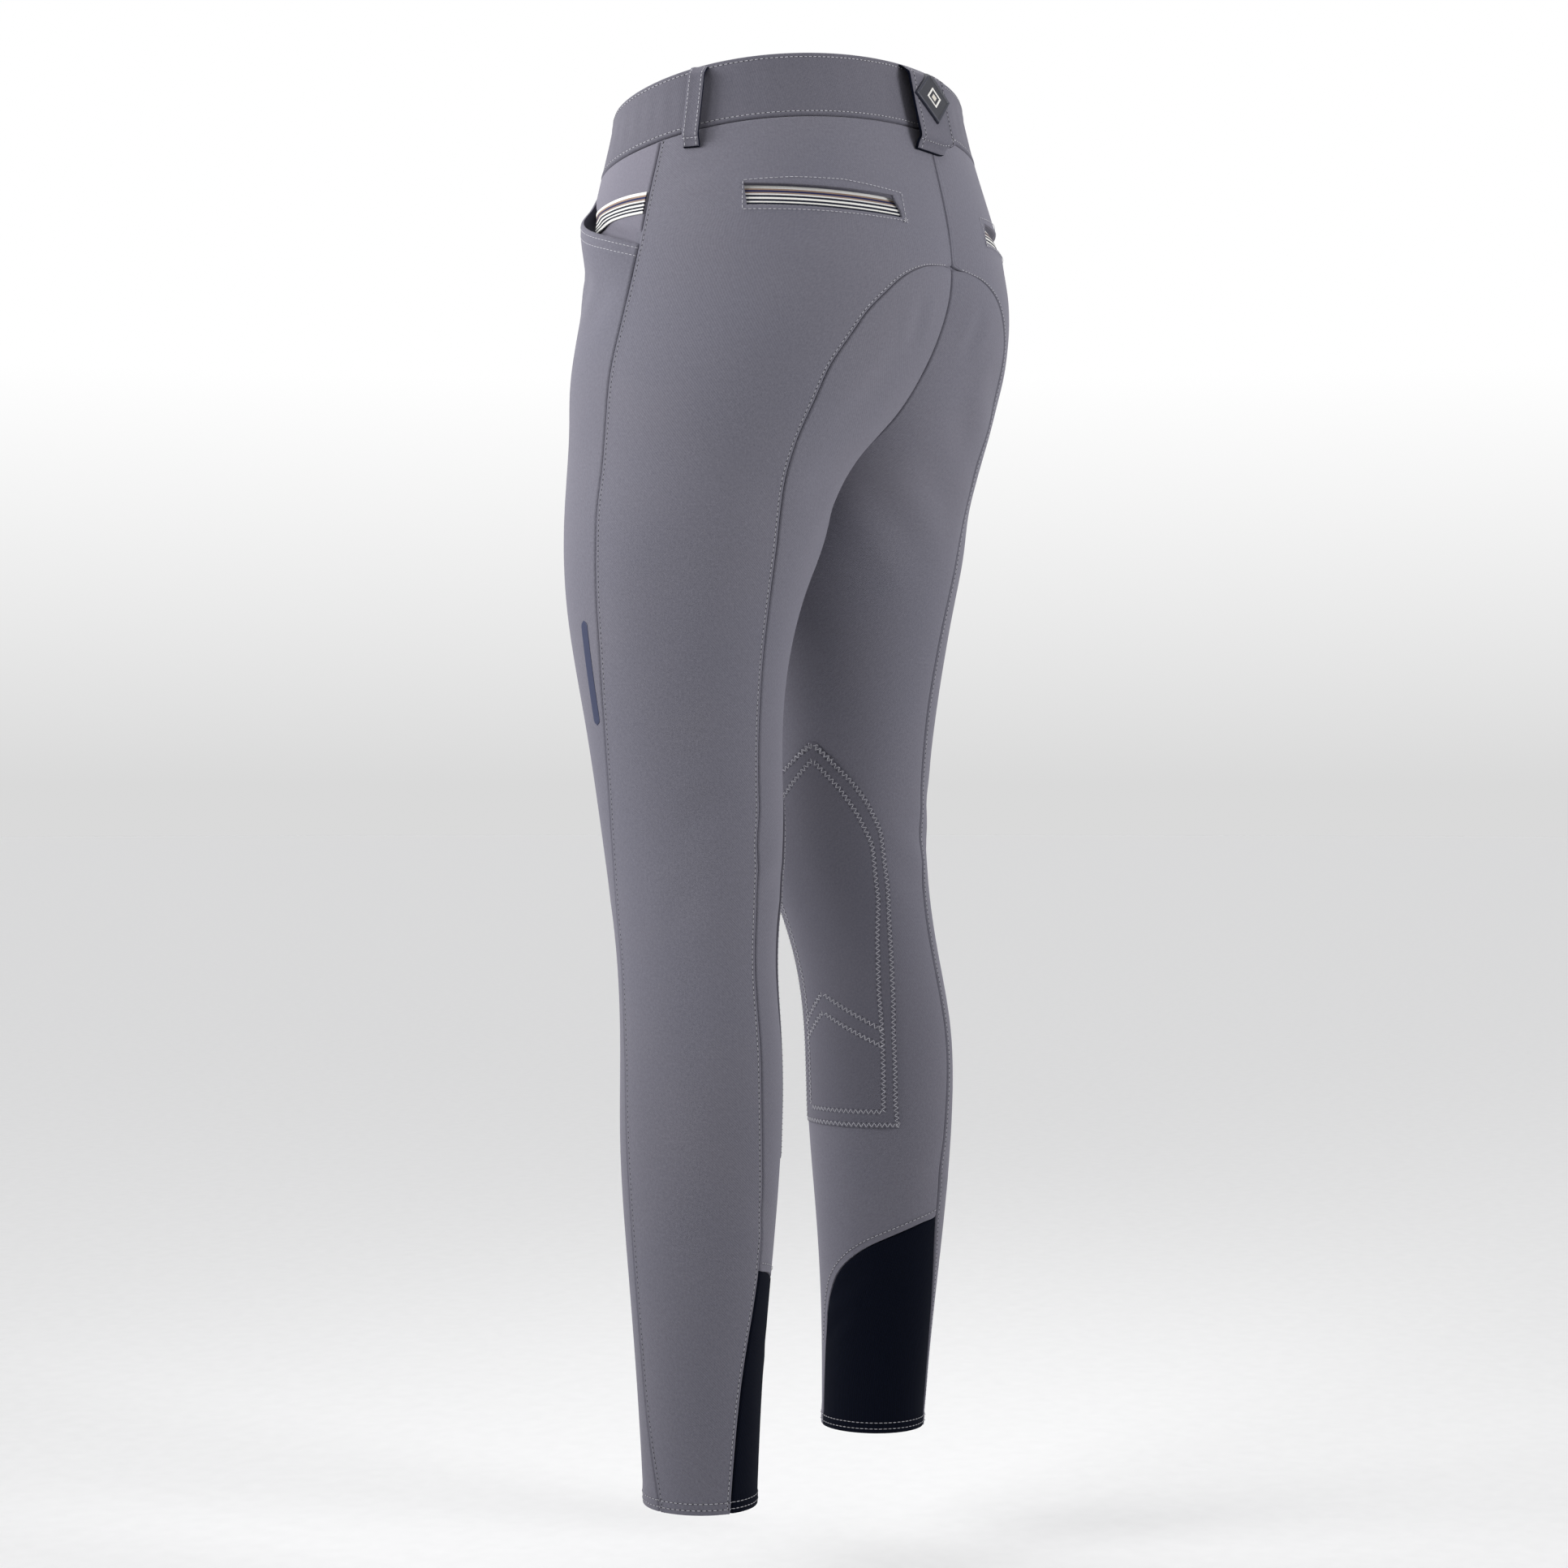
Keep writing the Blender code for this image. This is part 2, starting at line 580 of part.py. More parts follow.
def waist_button():
    """A plain four-fold disc on the lapped end of the waistband."""
    h = waist_seam(90) + BAND_W / 2
    p, n = place_at(-0.0150, h, back=False)
    across_dir = np.cross((0.0, 0.0, 1.0), n)
    across_dir /= np.linalg.norm(across_dir)
    up = np.cross(n, across_dir)
    rings = ((0.0, 1.00), (0.72, 1.00), (0.80, 1.12), (0.94, 1.12), (1.0, 0.85), (1.0, 0.15), (0.93, 0.0))
    base = CLOTH + LAY_GAP + 0.0005
    count = 20
    verts = [p + n * (base + BUTTON_T * 0.8)]
    for r, z in rings[1:]:
        for k in range(count):
            a = 2 * math.pi * k / count
            flat = across_dir * math.cos(a) + up * math.sin(a)
            level = {1.00: 0.8, 1.12: 1.0}.get(z, z)
            verts.append(p + flat * BUTTON_R * r + n * (base + BUTTON_T * level))
    verts.append(p + n * base)
    faces = []
    last = len(rings) - 2
    for k in range(count):
        k2 = (k + 1) % count
        faces.append([0, 1 + k, 1 + k2])
        for ring in range(last):
            a, b = 1 + ring * count + k, 1 + ring * count + k2
            faces.append([a, a + count, b + count, b])
        faces.append([len(verts) - 1, 1 + last * count + k2, 1 + last * count + k])
    return solid("waist_button", verts, faces, (0.10, 0.10, 0.12), 0.45)


for old in list(bpy.data.objects):
    bpy.data.objects.remove(old)

for word, half in (("left", 1), ("right", -1)):
    front_panel(word + "_front_panel", half)
    side_panel(word + "_side_panel", half)
    inner_panel(word + "_seat_leg_panel", half)
    cuff_panel(word + "_stretch_cuff", half)
    knee_patch(word + "_knee_patch", half)
    pocket_facing(word + "_pocket_facing", half)
    front_ribbon(word + "_front_pocket_ribbon", half)
    back_ribbon(word + "_back_pocket_ribbon", half)
    belt_loop(word + "_side_belt_loop", half, 195.0)
    belt_loop(word + "_front_belt_loop", half, 122.0)
waistband()
back_tab()
badge()
waist_button()
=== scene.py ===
"""Riding breeches in their worn shape: sewn stretch cloth, seams, stitching, ribbons and loops.

Metres, +Z up, the front towards -Y, the wearer's left towards +X, the middle of the waist at the origin.
A place on the cloth is an angle round its half (0 inner leg, 90 front, 180 side, 270 back)
and a height above the hem.
"""
import math

import bmesh
import bpy
import numpy as np
from mathutils import Matrix


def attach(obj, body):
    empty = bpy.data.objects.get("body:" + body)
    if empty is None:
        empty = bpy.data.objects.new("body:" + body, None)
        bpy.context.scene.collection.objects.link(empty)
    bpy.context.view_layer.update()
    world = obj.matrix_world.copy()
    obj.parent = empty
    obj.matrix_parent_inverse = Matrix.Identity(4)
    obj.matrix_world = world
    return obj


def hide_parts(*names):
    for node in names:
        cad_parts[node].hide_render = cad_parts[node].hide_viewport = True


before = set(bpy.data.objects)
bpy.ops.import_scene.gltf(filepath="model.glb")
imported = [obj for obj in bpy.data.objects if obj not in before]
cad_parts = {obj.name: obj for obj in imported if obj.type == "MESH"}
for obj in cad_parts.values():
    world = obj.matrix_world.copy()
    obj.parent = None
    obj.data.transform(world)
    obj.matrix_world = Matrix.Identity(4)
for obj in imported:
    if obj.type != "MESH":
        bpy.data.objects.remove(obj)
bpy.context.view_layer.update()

# ---- sizes -----------------------------------------------------------------------------
CLOTH = 0.0014            # stretch cloth as it shows
HALF_GAP = 0.00015        # half the gap at a seam
CROTCH_H = 0.690
WAIST_H = 0.926
WAIST_Y = 0.0130
BAND_W = 0.0440
BAND_SEAM_H = 0.9050
BAND_RISE = 0.0215
STANCE = 0.0180
POCKET_GAPE = 0.0100
LOOP_W = 0.0115
LOOP_STAND = 0.0035
TAB_W = 0.0420
TAB_STAND = 0.0050
BADGE_W = 0.0410
BADGE_H = 0.0370
BUTTON_R = 0.0085
BUTTON_X = -0.0150
BUTTON_THICK = 0.0030
BUTTON_HOLE = 0.0016      # a hole's place each way from the middle
FRAME_OUT = 0.0007        # back pocket's pressed frame above the cloth
PATCH_OUT = 0.0013        # knee patch above the cloth under it
LAP_T = 107               # angle where the band's lapped end lies
TAB_X = 0.0010            # tab's middle, a little left of the seam
BAR_H = 0.5185
BAR_L = 0.0700
BAR_HALF = 0.0040
LOOP_PLACES = (("side_belt_loop", 195.0), ("front_belt_loop", 122.0))
SEAT_RISE_TOP_H = 0.9265
FRONT_RISE_TOP_H = 0.8835
FLOOR_DROP = 0.090        # hem to floor, the height of a foot
STITCH_L = 0.0026         # one stitch
STITCH_PITCH = 0.0034
THREAD = 0.00052          # thread width
SMALL_STITCH = (0.0031, 0.0022)   # pitch and length on pockets, loops and the tab
ALLOWANCE_W = 0.0090      # both pressed edges of a seam, inside

SECTION_COLUMNS = ("h", "cx", "cy", "out", "inn", "front", "back", "sq_in", "sq_out")
SECTIONS = [
    (0.000, 0.1320, 0.006, 0.037, 0.036, 0.038, 0.039, 0.00, 0.00),
    (0.080, 0.1345, 0.008, 0.041, 0.040, 0.042, 0.043, 0.00, 0.00),
    (0.160, 0.1340, 0.009, 0.046, 0.047, 0.048, 0.050, 0.00, 0.00),
    (0.240, 0.1300, 0.009, 0.050, 0.053, 0.054, 0.056, 0.00, 0.00),
    (0.300, 0.1250, 0.008, 0.050, 0.053, 0.055, 0.056, 0.00, 0.00),
    (0.360, 0.1160, 0.001, 0.050, 0.052, 0.056, 0.054, 0.00, 0.00),
    (0.430, 0.1010, -0.010, 0.057, 0.057, 0.063, 0.062, 0.00, 0.00),
    (0.520, 0.1010, -0.015, 0.066, 0.063, 0.069, 0.069, 0.00, 0.00),
    (0.600, 0.0980, -0.015, 0.078, 0.074, 0.083, 0.082, 0.00, 0.00),
    (0.660, 0.0915, -0.010, 0.087, 0.086, 0.092, 0.091, 0.04, 0.00),
    (0.690, 0.0880, -0.006, 0.089, 0.088, 0.095, 0.094, 0.07, 0.01),
    (0.720, 0.0790, -0.003, 0.099, 0.098, 0.098, 0.105, 0.12, 0.01),
    (0.750, 0.0660, -0.002, 0.112, 0.113, 0.099, 0.119, 0.14, 0.02),
    (0.780, 0.0500, 0.001, 0.126, 0.116, 0.100, 0.131, 0.12, 0.03),
    (0.810, 0.0360, 0.004, 0.138, 0.114, 0.102, 0.138, 0.07, 0.03),
    (0.840, 0.0250, 0.006, 0.147, 0.115, 0.104, 0.135, 0.05, 0.04),
    (0.870, 0.0160, 0.006, 0.151, 0.120, 0.099, 0.129, 0.03, 0.05),
    (0.900, 0.0090, 0.006, 0.150, 0.125, 0.096, 0.121, 0.02, 0.05),
    (0.930, 0.0040, 0.006, 0.148, 0.130, 0.094, 0.1135, 0.01, 0.04),
    (0.980, 0.0010, 0.006, 0.141, 0.135, 0.091, 0.103, 0.01, 0.03),
]
SIDE_SEAM = [(0.00, 172), (0.06, 158), (0.14, 153), (0.22, 151), (0.30, 146), (0.36, 143), (0.42, 149),
             (0.48, 158), (0.55, 166), (0.62, 169), (0.68, 168), (0.74, 171), (0.80, 176), (0.85, 180),
             (0.98, 183)]
BACK_SEAM = [(0.00, 247), (0.05, 252), (0.10, 259), (0.16, 269), (0.22, 266), (0.30, 262), (0.36, 263),
             (0.43, 260), (0.50, 263), (0.55, 263), (0.60, 260), (0.66, 255), (0.72, 251), (0.76, 249),
             (0.80, 249)]
INNER_SEAM = [(0.00, 60), (0.20, 62), (0.40, 62), (0.50, 60), (0.58, 51), (0.64, 34), (0.672, 15), (0.690, 0)]
SIDE_NODES = (0, .04, .07, .09, .11, .125, .14, .15, .16, .17, .20, .24, .28, .33, .38, .43, .48, .53, .58, .63,
              .67, .70, .73, .76, .79, .815, .836, .846, .857, .872, .888)
BACK_NODES = (0, .03, .05, .07, .09, .11, .13, .145, .16, .18, .20, .24, .28, .33, .38, .43, .48, .53, .58,
              .63, .67, .70, .73, .76)
INNER_NODES = (0, .04, .07, .09, .11, .125, .14, .15, .16, .17, .20, .24, .28, .33, .38, .43, .48, .53, .58,
               .63, .665, .69)
FRONT_RISE_NODES = (.712, .745, .79, .835)
BACK_RISE_NODES = (.703, .730, .757, .783, .803, .816, .826)
SEAT_EDGE = [(249.5, .785), (253.5, .805), (259.0, .8185), (267.5, .8270)]
SEAT_TOP_H = 0.8325
YOKE_NODES = (.862, .895)
CUFF_EDGE = [(405, 0.000), (395, .060), (385, .096), (371, .1165), (355, .1295), (338, .139), (320, .146),
             (303, .1515), (287, .156)]
CUFF_STITCHES = [(401.4, .061), (391.4, .097), (376.3, .1193), (359.3, .1332), (341.4, .1433), (322.7, .1505),
                 (305.4, .1562), (289.2, .1607), (271.0, .1645)]
MOUTH_EDGE = [(169, .8415), (159, .8480), (149, .8580), (140, .8710)]
MOUTH_TOP_T = 133
PATCH_ROWS = [(0.228, 312, 408), (0.256, 314, 406), (0.290, 314, 406), (0.330, 310, 408), (0.370, 304, 410),
              (0.410, 299, 410), (0.440, 300, 404), (0.460, 307, 396), (0.478, 318, 381), (0.494, 332, 364)]
PATCH_TOP = (347, 0.509)

# Soft folds in the worn cloth: which half (0 both), ends as angle and height, half width, depth.
FOLD_COLUMNS = ("half", "t0", "h0", "t1", "h1", "wide", "deep")
FOLDS = [
    (0, 286, .742, 252, .700, .0140, .0011), (0, 300, .716, 262, .664, .0120, .0010),
    (0, 322, .690, 282, .628, .0110, .0012), (0, 268, .808, 280, .772, .0070, .0007),
    (0, 262, .772, 246, .742, .0120, .0009), (0, 230, .690, 262, .640, .0150, .0008),
    (0, 40, .672, 70, .640, .0110, .0013), (0, 24, .700, 62, .690, .0110, .0013),
    (0, 60, .742, 92, .716, .0120, .0010), (0, 84, .760, 112, .800, .0120, .0007),
    (0, 250, .470, 205, .452, .0110, .0009), (0, 290, .452, 232, .430, .0100, .0010),
    (0, 300, .424, 262, .402, .0090, .0009), (0, 222, .408, 190, .388, .0100, .0006),
    (0, 60, .452, 110, .470, .0130, .0006), (0, 70, .392, 120, .372, .0110, .0005),
    (0, 340, .120, 380, .098, .0060, .0010), (0, 350, .094, 388, .070, .0055, .0008),
    (0, 300, .112, 336, .104, .0070, .0006), (0, 250, .205, 290, .188, .0100, .0006),
    (0, 145, .832, 128, .808, .0070, .0009), (0, 158, .826, 138, .794, .0075, .0008),
    (0, 168, .818, 156, .780, .0080, .0006), (0, 132, .848, 116, .836, .0060, .0007),
    (1, 200, .640, 214, .560, .0180, .0006), (-1, 196, .664, 220, .590, .0180, .0006),
    (1, 176, .300, 196, .230, .0130, .0005), (-1, 172, .310, 190, .236, .0130, .0005),
    (0, 214, .846, 240, .838, .0080, .0005), (0, 186, .876, 206, .886, .0060, .0004),
]


def spline(rows, key=0, value=1):
    """A smooth curve through the rows of a table, as a function of one column."""
    xs = np.array([r[key] for r in rows], float)
    ys = np.array([r[value] for r in rows], float)
    n = len(xs)
    gap = np.diff(xs)
    grid = np.zeros((n, n))
    rhs = np.zeros(n)
    grid[0, 0] = grid[-1, -1] = 1
    for i in range(1, n - 1):
        grid[i, i - 1:i + 2] = (gap[i - 1], 2 * (gap[i - 1] + gap[i]), gap[i])
        rhs[i] = 6 * ((ys[i + 1] - ys[i]) / gap[i] - (ys[i] - ys[i - 1]) / gap[i - 1])
    bend = np.linalg.solve(grid, rhs)

    def curve(x):
        x = np.asarray(x, float)
        i = np.clip(np.searchsorted(xs, x) - 1, 0, n - 2)
        p = (xs[i + 1] - x) / gap[i]
        q = (x - xs[i]) / gap[i]
        bow = ((p ** 3 - p) * bend[i] + (q ** 3 - q) * bend[i + 1]) * gap[i] ** 2 / 6
        return p * ys[i] + q * ys[i + 1] + bow
    return curve


SECTION = {name: spline(SECTIONS, 0, k) for k, name in enumerate(SECTION_COLUMNS) if k}
side_t = spline(SIDE_SEAM)
back_t = spline(BACK_SEAM)
inner_t = spline(INNER_SEAM)


def ease(x):
    x = np.clip(x, 0.0, 1.0)
    return x * x * (3 - 2 * x)


def outline(t, h):
    """The section of one half at a height, before it is set in the frame."""
    a = np.radians(t)
    c, s = np.cos(a), np.sin(a)
    width = SECTION["inn"](h) + (SECTION["out"](h) - SECTION["inn"](h)) * (1 - c) / 2
    depth = SECTION["back"](h) + (SECTION["front"](h) - SECTION["back"](h)) * (1 + s) / 2
    full = 1 + np.where(c > 0, SECTION["sq_in"](h), SECTION["sq_out"](h)) * (2 * s * c) ** 2
    return SECTION["cx"](h) - width * c * full, SECTION["cy"](h) - depth * s * full


def middle(h, back, x=0.0):
    """The angle where the outline comes to a distance x from the middle plane."""
    h, x = np.broadcast_arrays(np.asarray(h, float), np.asarray(x, float))
    low = np.full(h.shape, 250.0 if back else 110.0)
    high = np.full(h.shape, 360.0 if back else 0.0)
    for _ in range(36):
        mid = (low + high) / 2
        beyond = outline(mid, h)[0] > x
        low, high = np.where(beyond, mid, low), np.where(beyond, high, mid)
    return low


def on_form(t, h, side):
    """Places on the left (1) or right (-1) half."""
    x, y = outline(t, h)
    y = y + side * STANCE * ease(1 - h / CROTCH_H)
    return np.stack([side * x, y - WAIST_Y, h - WAIST_H + 0 * x], -1)


def facing_out(t, h, side):
    """Directions straight out of the form."""
    dt = on_form(t + 0.5, h, side) - on_form(t - 0.5, h, side)
    dh = on_form(t, h + 0.002, side) - on_form(t, h - 0.002, side)
    n = np.cross(dt, dh) * np.asarray(side)[..., None]
    return n / np.linalg.norm(n, axis=-1, keepdims=True)


def waist_seam(t):
    return BAND_SEAM_H - BAND_RISE * np.sin(np.radians(t))


def fold_depth(points, side):
    """How far the worn cloth sinks into or stands out of its folds at these places."""
    lift = np.zeros(points.shape[:-1])
    for half, t0, h0, t1, h1, wide, deep in FOLDS:
        if half not in (0, side):
            continue
        u = np.linspace(0, 1, 9)
        line = on_form(t0 + (t1 - t0) * u, h0 + (h1 - h0) * u, side)
        near = np.full(lift.shape, 9.0)
        along = np.zeros(lift.shape)
        for k in range(8):
            step = line[k + 1] - line[k]
            s = np.clip(((points - line[k]) @ step) / (step @ step), 0, 1)
            d = np.linalg.norm(points - line[k] - s[..., None] * step, axis=-1)
            along = np.where(d < near, (k + s) / 8, along)
            near = np.minimum(d, near)
        fade = np.sin(np.pi * np.clip(along, 0, 1)) ** 0.8
        x = near / wide
        lift += deep * fade * (-np.exp(-x ** 2) + 0.55 * np.exp(-((x - 1.9) / 0.9) ** 2))
    return lift


def flow(nodes, at):
    """A run through nodes (..., C, 2) that never swings past them, read at positions (..., N)."""
    step = np.diff(nodes, axis=-2)
    a, b = step[..., :-1, :], step[..., 1:, :]
    same = a * b > 0
    mean = np.where(same, 2 * a * b / np.where(same, a + b, 1.0), 0.0)
    slope = np.concatenate([step[..., :1, :], mean, step[..., -1:, :]], axis=-2)
    k = np.clip(np.floor(at).astype(int), 0, nodes.shape[-2] - 2)
    s = (at - k)[..., None]
    pick = np.repeat(k[..., None], 2, -1)
    y0, y1 = np.take_along_axis(nodes, pick, -2), np.take_along_axis(nodes, pick + 1, -2)
    m0, m1 = np.take_along_axis(slope, pick, -2), np.take_along_axis(slope, pick + 1, -2)
    return ((2 * s ** 3 - 3 * s ** 2 + 1) * y0 + (s ** 3 - 2 * s ** 2 + s) * m0
            + (3 * s ** 2 - 2 * s ** 3) * y1 + (s ** 3 - s ** 2) * m1)


# ---- edges of cloth ----------------------------------------------------------------------
NEAR_EDGE = (HALF_GAP, .0006, .0012, .0019, .0025, .0030, .0035, .0042, .0055, .0078)


def edge_shape(kind, d):
    """Height of the cloth at a distance from its edge."""
    if kind == "plain":
        return -0.0015 * np.clip(1 - d / 0.0021, 0, 1) ** 2
    if kind == "stitched":
        roll = -0.0015 * np.clip(1 - d / 0.0018, 0, 1) ** 2
        ridge = 0.00038 * ease(d / 0.0012) * ease((0.0052 - d) / 0.0022)
        return roll + ridge - 0.00042 * np.exp(-((d - 0.0030) / 0.0006) ** 2)
    if kind == "hem":
        return -0.0006 * np.clip(1 - d / 0.0009, 0, 1) ** 2 + 0.00045 * ease((0.0098 - d) / 0.0020)
    return -0.0005 * np.clip(1 - d / 0.0010, 0, 1) ** 2


def finished(bm, name, *materials):
    """A bmesh made into an object of the scene."""
    mesh = bpy.data.meshes.new(name)
    bm.to_mesh(mesh)
    bm.free()
    for material in materials:
        mesh.materials.append(material)
    piece = bpy.data.objects.new(name, mesh)
    bpy.context.scene.collection.objects.link(piece)
    return piece


def run_length(points, axis):
    """The length run along a grid's rows or columns."""
    step = np.linalg.norm(np.diff(points, axis=axis), axis=-1)
    return np.concatenate([np.zeros_like(np.take(step, [0], axis)), np.cumsum(step, axis)], axis)


def cloth_wall(name, outer, inner, material, uv=None, hole=None, navy_lining_and_shade=None):
    """A closed wall of cloth from a grid laid on two equal sets of places."""
    rows, cols = outer.shape[:2]
    bm = bmesh.new()
    row_of = bm.verts.layers.int.new("row")
    col_of = bm.verts.layers.int.new("col")
    bmesh.ops.create_grid(bm, x_segments=cols - 1, y_segments=rows - 1, size=1.0)
    for v in bm.verts:
        v[row_of] = round((v.co.y + 1) / 2 * (rows - 1))
        v[col_of] = round((v.co.x + 1) / 2 * (cols - 1))
    if hole:
        gone = []
        for f in bm.faces:
            r = min(v[row_of] for v in f.verts)
            c = min(v[col_of] for v in f.verts)
            if hole[0] <= r < hole[1] and hole[2] <= c < hole[3]:
                gone.append(f)
        bmesh.ops.delete(bm, geom=gone, context="FACES")
    made = bmesh.ops.extrude_face_region(bm, geom=bm.faces[:], use_keep_orig=True)["geom"]
    top = {v for v in made if isinstance(v, bmesh.types.BMVert)}
    for v in bm.verts:
        v.co = (outer if v in top else inner)[v[row_of], v[col_of]]
    bmesh.ops.recalc_face_normals(bm, faces=bm.faces[:])
    lay = bm.loops.layers.uv.new("cloth")
    if uv is None:
        uv = np.stack([run_length(outer, 1), run_length(outer, 0)], -1)
    for f in bm.faces:
        f.smooth = True
        # Faces off the outer side take the second material: a guessed navy lining, also set there as painted
        # shade of the gap under the strip.
        if navy_lining_and_shade and sum(v in top for v in f.verts) < 3:
            f.material_index = 1
        for loop in f.loops:
            loop[lay].uv = uv[loop.vert[row_of], loop.vert[col_of]]
    for e in bm.edges:
        if len(e.link_faces) == 2 and e.calc_face_angle(0) > 0.9:
            e.smooth = False
    return finished(bm, name, *((material, navy_lining_and_shade) if navy_lining_and_shade else (material,)))


# What is cut for each piece, flat and before it is stretched on: metres and square metres.
CUT_COLUMNS = ("node, less its side", "width", "length", "area", "held")


def settle(piece, node):
    """Hand a finished piece to the frame in place of its node."""
    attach(piece, "root")
    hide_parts(node)


def panel(name, places, side, material, lift=None, thick=CLOTH, edges=("plain", "plain", "hem", "plain"),
          per=(6, 5), hole=None, extra=((), ())):
    """Cloth over a coarse grid of (angle, height) places, refined, with shaped edges and worn folds.
    edges are the left, right, bottom and top edges; hole is a window in coarse cells."""
    nodes = np.array(places, float)
    n_rows, n_cols = nodes.shape[0] - 1, nodes.shape[1] - 1
    coarse = on_form(nodes[..., 0], nodes[..., 1], side)
    first = np.linalg.norm(coarse[1] - coarse[0], axis=-1).mean()
    last = np.linalg.norm(coarse[-1] - coarse[-2], axis=-1).mean()
    near = np.array(NEAR_EDGE)
    low = near / first * min(1, 0.8 * first / near[-1])
    high = n_rows - near[::-1] / last * min(1, 0.8 * last / near[-1])
    inside = [k / per[0] for k in range(n_rows * per[0] + 1) if low[-1] + .06 < k / per[0] < high[0] - .06]
    down = np.array(sorted(list(low) + inside + list(high) + list(extra[0])))
    lines = np.swapaxes(flow(np.swapaxes(nodes, 0, 1), np.tile(down, (n_cols + 1, 1))), 0, 1)
    at = on_form(lines[..., 0], lines[..., 1], side)
    w0 = np.linalg.norm(at[:, 1] - at[:, 0], axis=-1)[:, None]
    w1 = np.linalg.norm(at[:, -1] - at[:, -2], axis=-1)[:, None]
    left = near / w0 * np.minimum(1, 0.75 * w0 / near[-1])
    right = n_cols - (near / w1 * np.minimum(1, 0.75 * w1 / near[-1]))[:, ::-1]
    base = sorted([1 + k / per[1] for k in range((n_cols - 2) * per[1] + 1)] + list(extra[1]))
    body = np.tile(np.array(base), (len(down), 1))
    gap_l, gap_r = left[:, -1:], right[:, :1]
    over = np.concatenate([left, gap_l + (1 - gap_l) * 0.33, gap_l + (1 - gap_l) * 0.66, body,
                           n_cols - 1 + (gap_r - n_cols + 1) * 0.33, n_cols - 1 + (gap_r - n_cols + 1) * 0.66,
                           right], axis=1)
    fine = flow(lines, over)
    t, h = fine[..., 0], fine[..., 1]
    form = on_form(t, h, side)
    out = facing_out(t, h, side)
    across_run, up_run = run_length(form, 1), run_length(form, 0)
    from_edge = (across_run, across_run[:, -1:] - across_run, up_run, up_run[-1:] - up_run)
    rise = np.zeros(t.shape)
    for kind, d in zip(edges, from_edge):
        rise = rise + edge_shape(kind, d + HALF_GAP)
    cells = None
    if hole:
        cells = (int(np.argmin(abs(down - hole[0]))), int(np.argmin(abs(down - hole[1]))),
                 int(np.argmin(abs(over[0] - hole[2]))), int(np.argmin(abs(over[0] - hole[3]))))
        r0, r1, c0, c1 = cells
        dv = np.maximum(up_run[r0:r0 + 1] - up_run, up_run - up_run[r1:r1 + 1])
        du = np.maximum(across_run[:, c0:c0 + 1] - across_run, across_run - across_run[:, c1:c1 + 1])
        d = np.hypot(np.maximum(du, 0), np.maximum(dv, 0))
        rise = rise + 0.0006 * ease(1 - d / 0.006) - 0.0006 * ease(1 - d / 0.0009)
    hold = lift(t, h) if lift else np.zeros(t.shape)
    worn = fold_depth(form, side)
    outer = form + out * (hold + rise + worn)[..., None]
    inner = form + out * (hold + 0.30 * rise + worn - thick)[..., None]
    for face in (outer, inner):
        face[..., 0] = side * np.maximum(side * face[..., 0], HALF_GAP)
    uv = np.stack([across_run - across_run[:, -1:] / 2, h], -1)
    piece = cloth_wall(name, outer, inner, material, uv, cells)
    return piece, {"t": t, "h": h, "at": outer, "out": out, "from": dict(zip("LRBT", from_edge))}


# ---- sewing --------------------------------------------------------------------------------
def beside(made, edge, distance, low=-1.0, high=9.0, t_low=-999.0, t_high=999.0):
    """A line on the cloth at a distance from one edge: places and outward directions."""
    d = made["from"][edge]
    turn = edge in "BT"
    d = d.T if turn else d
    cols = [np.swapaxes(made[k], 0, 1) if turn else made[k] for k in ("at", "out", "t", "h")]
    if edge in "RT":
        d, cols = d[:, ::-1], [c[:, ::-1] for c in cols]
    spots, outs = [], []
    for i in range(len(d)):
        h = np.interp(distance, d[i], cols[3][i])
        t = np.interp(distance, d[i], cols[2][i])
        if low <= h <= high and t_low <= t <= t_high and d[i, -1] > distance * 1.5:
            spots.append([np.interp(distance, d[i], cols[0][i, :, k]) for k in range(3)])
            outs.append([np.interp(distance, d[i], cols[1][i, :, k]) for k in range(3)])
    return np.array(spots), np.array(outs)


def along(places, side, lift, count):
    """A line through (angle, height) places, laid on the worn cloth."""
    nodes = np.array(places, float)
    fine = flow(nodes, np.linspace(0, len(nodes) - 1, count))
    at = on_form(fine[:, 0], fine[:, 1], side)
    out = facing_out(fine[:, 0], fine[:, 1], side)
    return at + out * (lift + fold_depth(at, side))[..., None], out


def even_steps(line, pitch, offset=0.5):
    """Equal steps along a line: places, outward directions and the way along."""
    at, out = line
    run = run_length(at, 0)
    count = max(int(run[-1] / pitch), 1)
    s = (np.arange(count) + offset) * run[-1] / count
    spots = np.stack([np.interp(s, run, at[:, k]) for k in range(3)], -1)
    outs = np.stack([np.interp(s, run, out[:, k]) for k in range(3)], -1)
    ahead = np.stack([np.interp(s + pitch * .3, run, at[:, k]) - np.interp(s - pitch * .3, run, at[:, k])
                      for k in range(3)], -1)
    return spots, outs, ahead


def straight_run(line, pitch=STITCH_PITCH, length=STITCH_L):
    """Lockstitches along a line, as start, end and outward direction."""
    spots, outs, ahead = even_steps(line, pitch)
    return [(p - a / np.linalg.norm(a) * length / 2, p + a / np.linalg.norm(a) * length / 2, n)
            for p, n, a in zip(spots, outs, ahead) if np.linalg.norm(a) > 1e-6]


def zigzag_run(line, pitch=0.0019, width=0.0032):
    spots, outs, ahead = even_steps(line, pitch, 0.0)
    made = []
    for k in range(len(spots) - 1):
        a = ahead[k] / max(np.linalg.norm(ahead[k]), 1e-9)
        cross = np.cross(outs[k], a) * width / 2 * (1 if k % 2 else -1)
        made.append((spots[k] + cross, spots[k + 1] - cross, outs[k]))
    return made


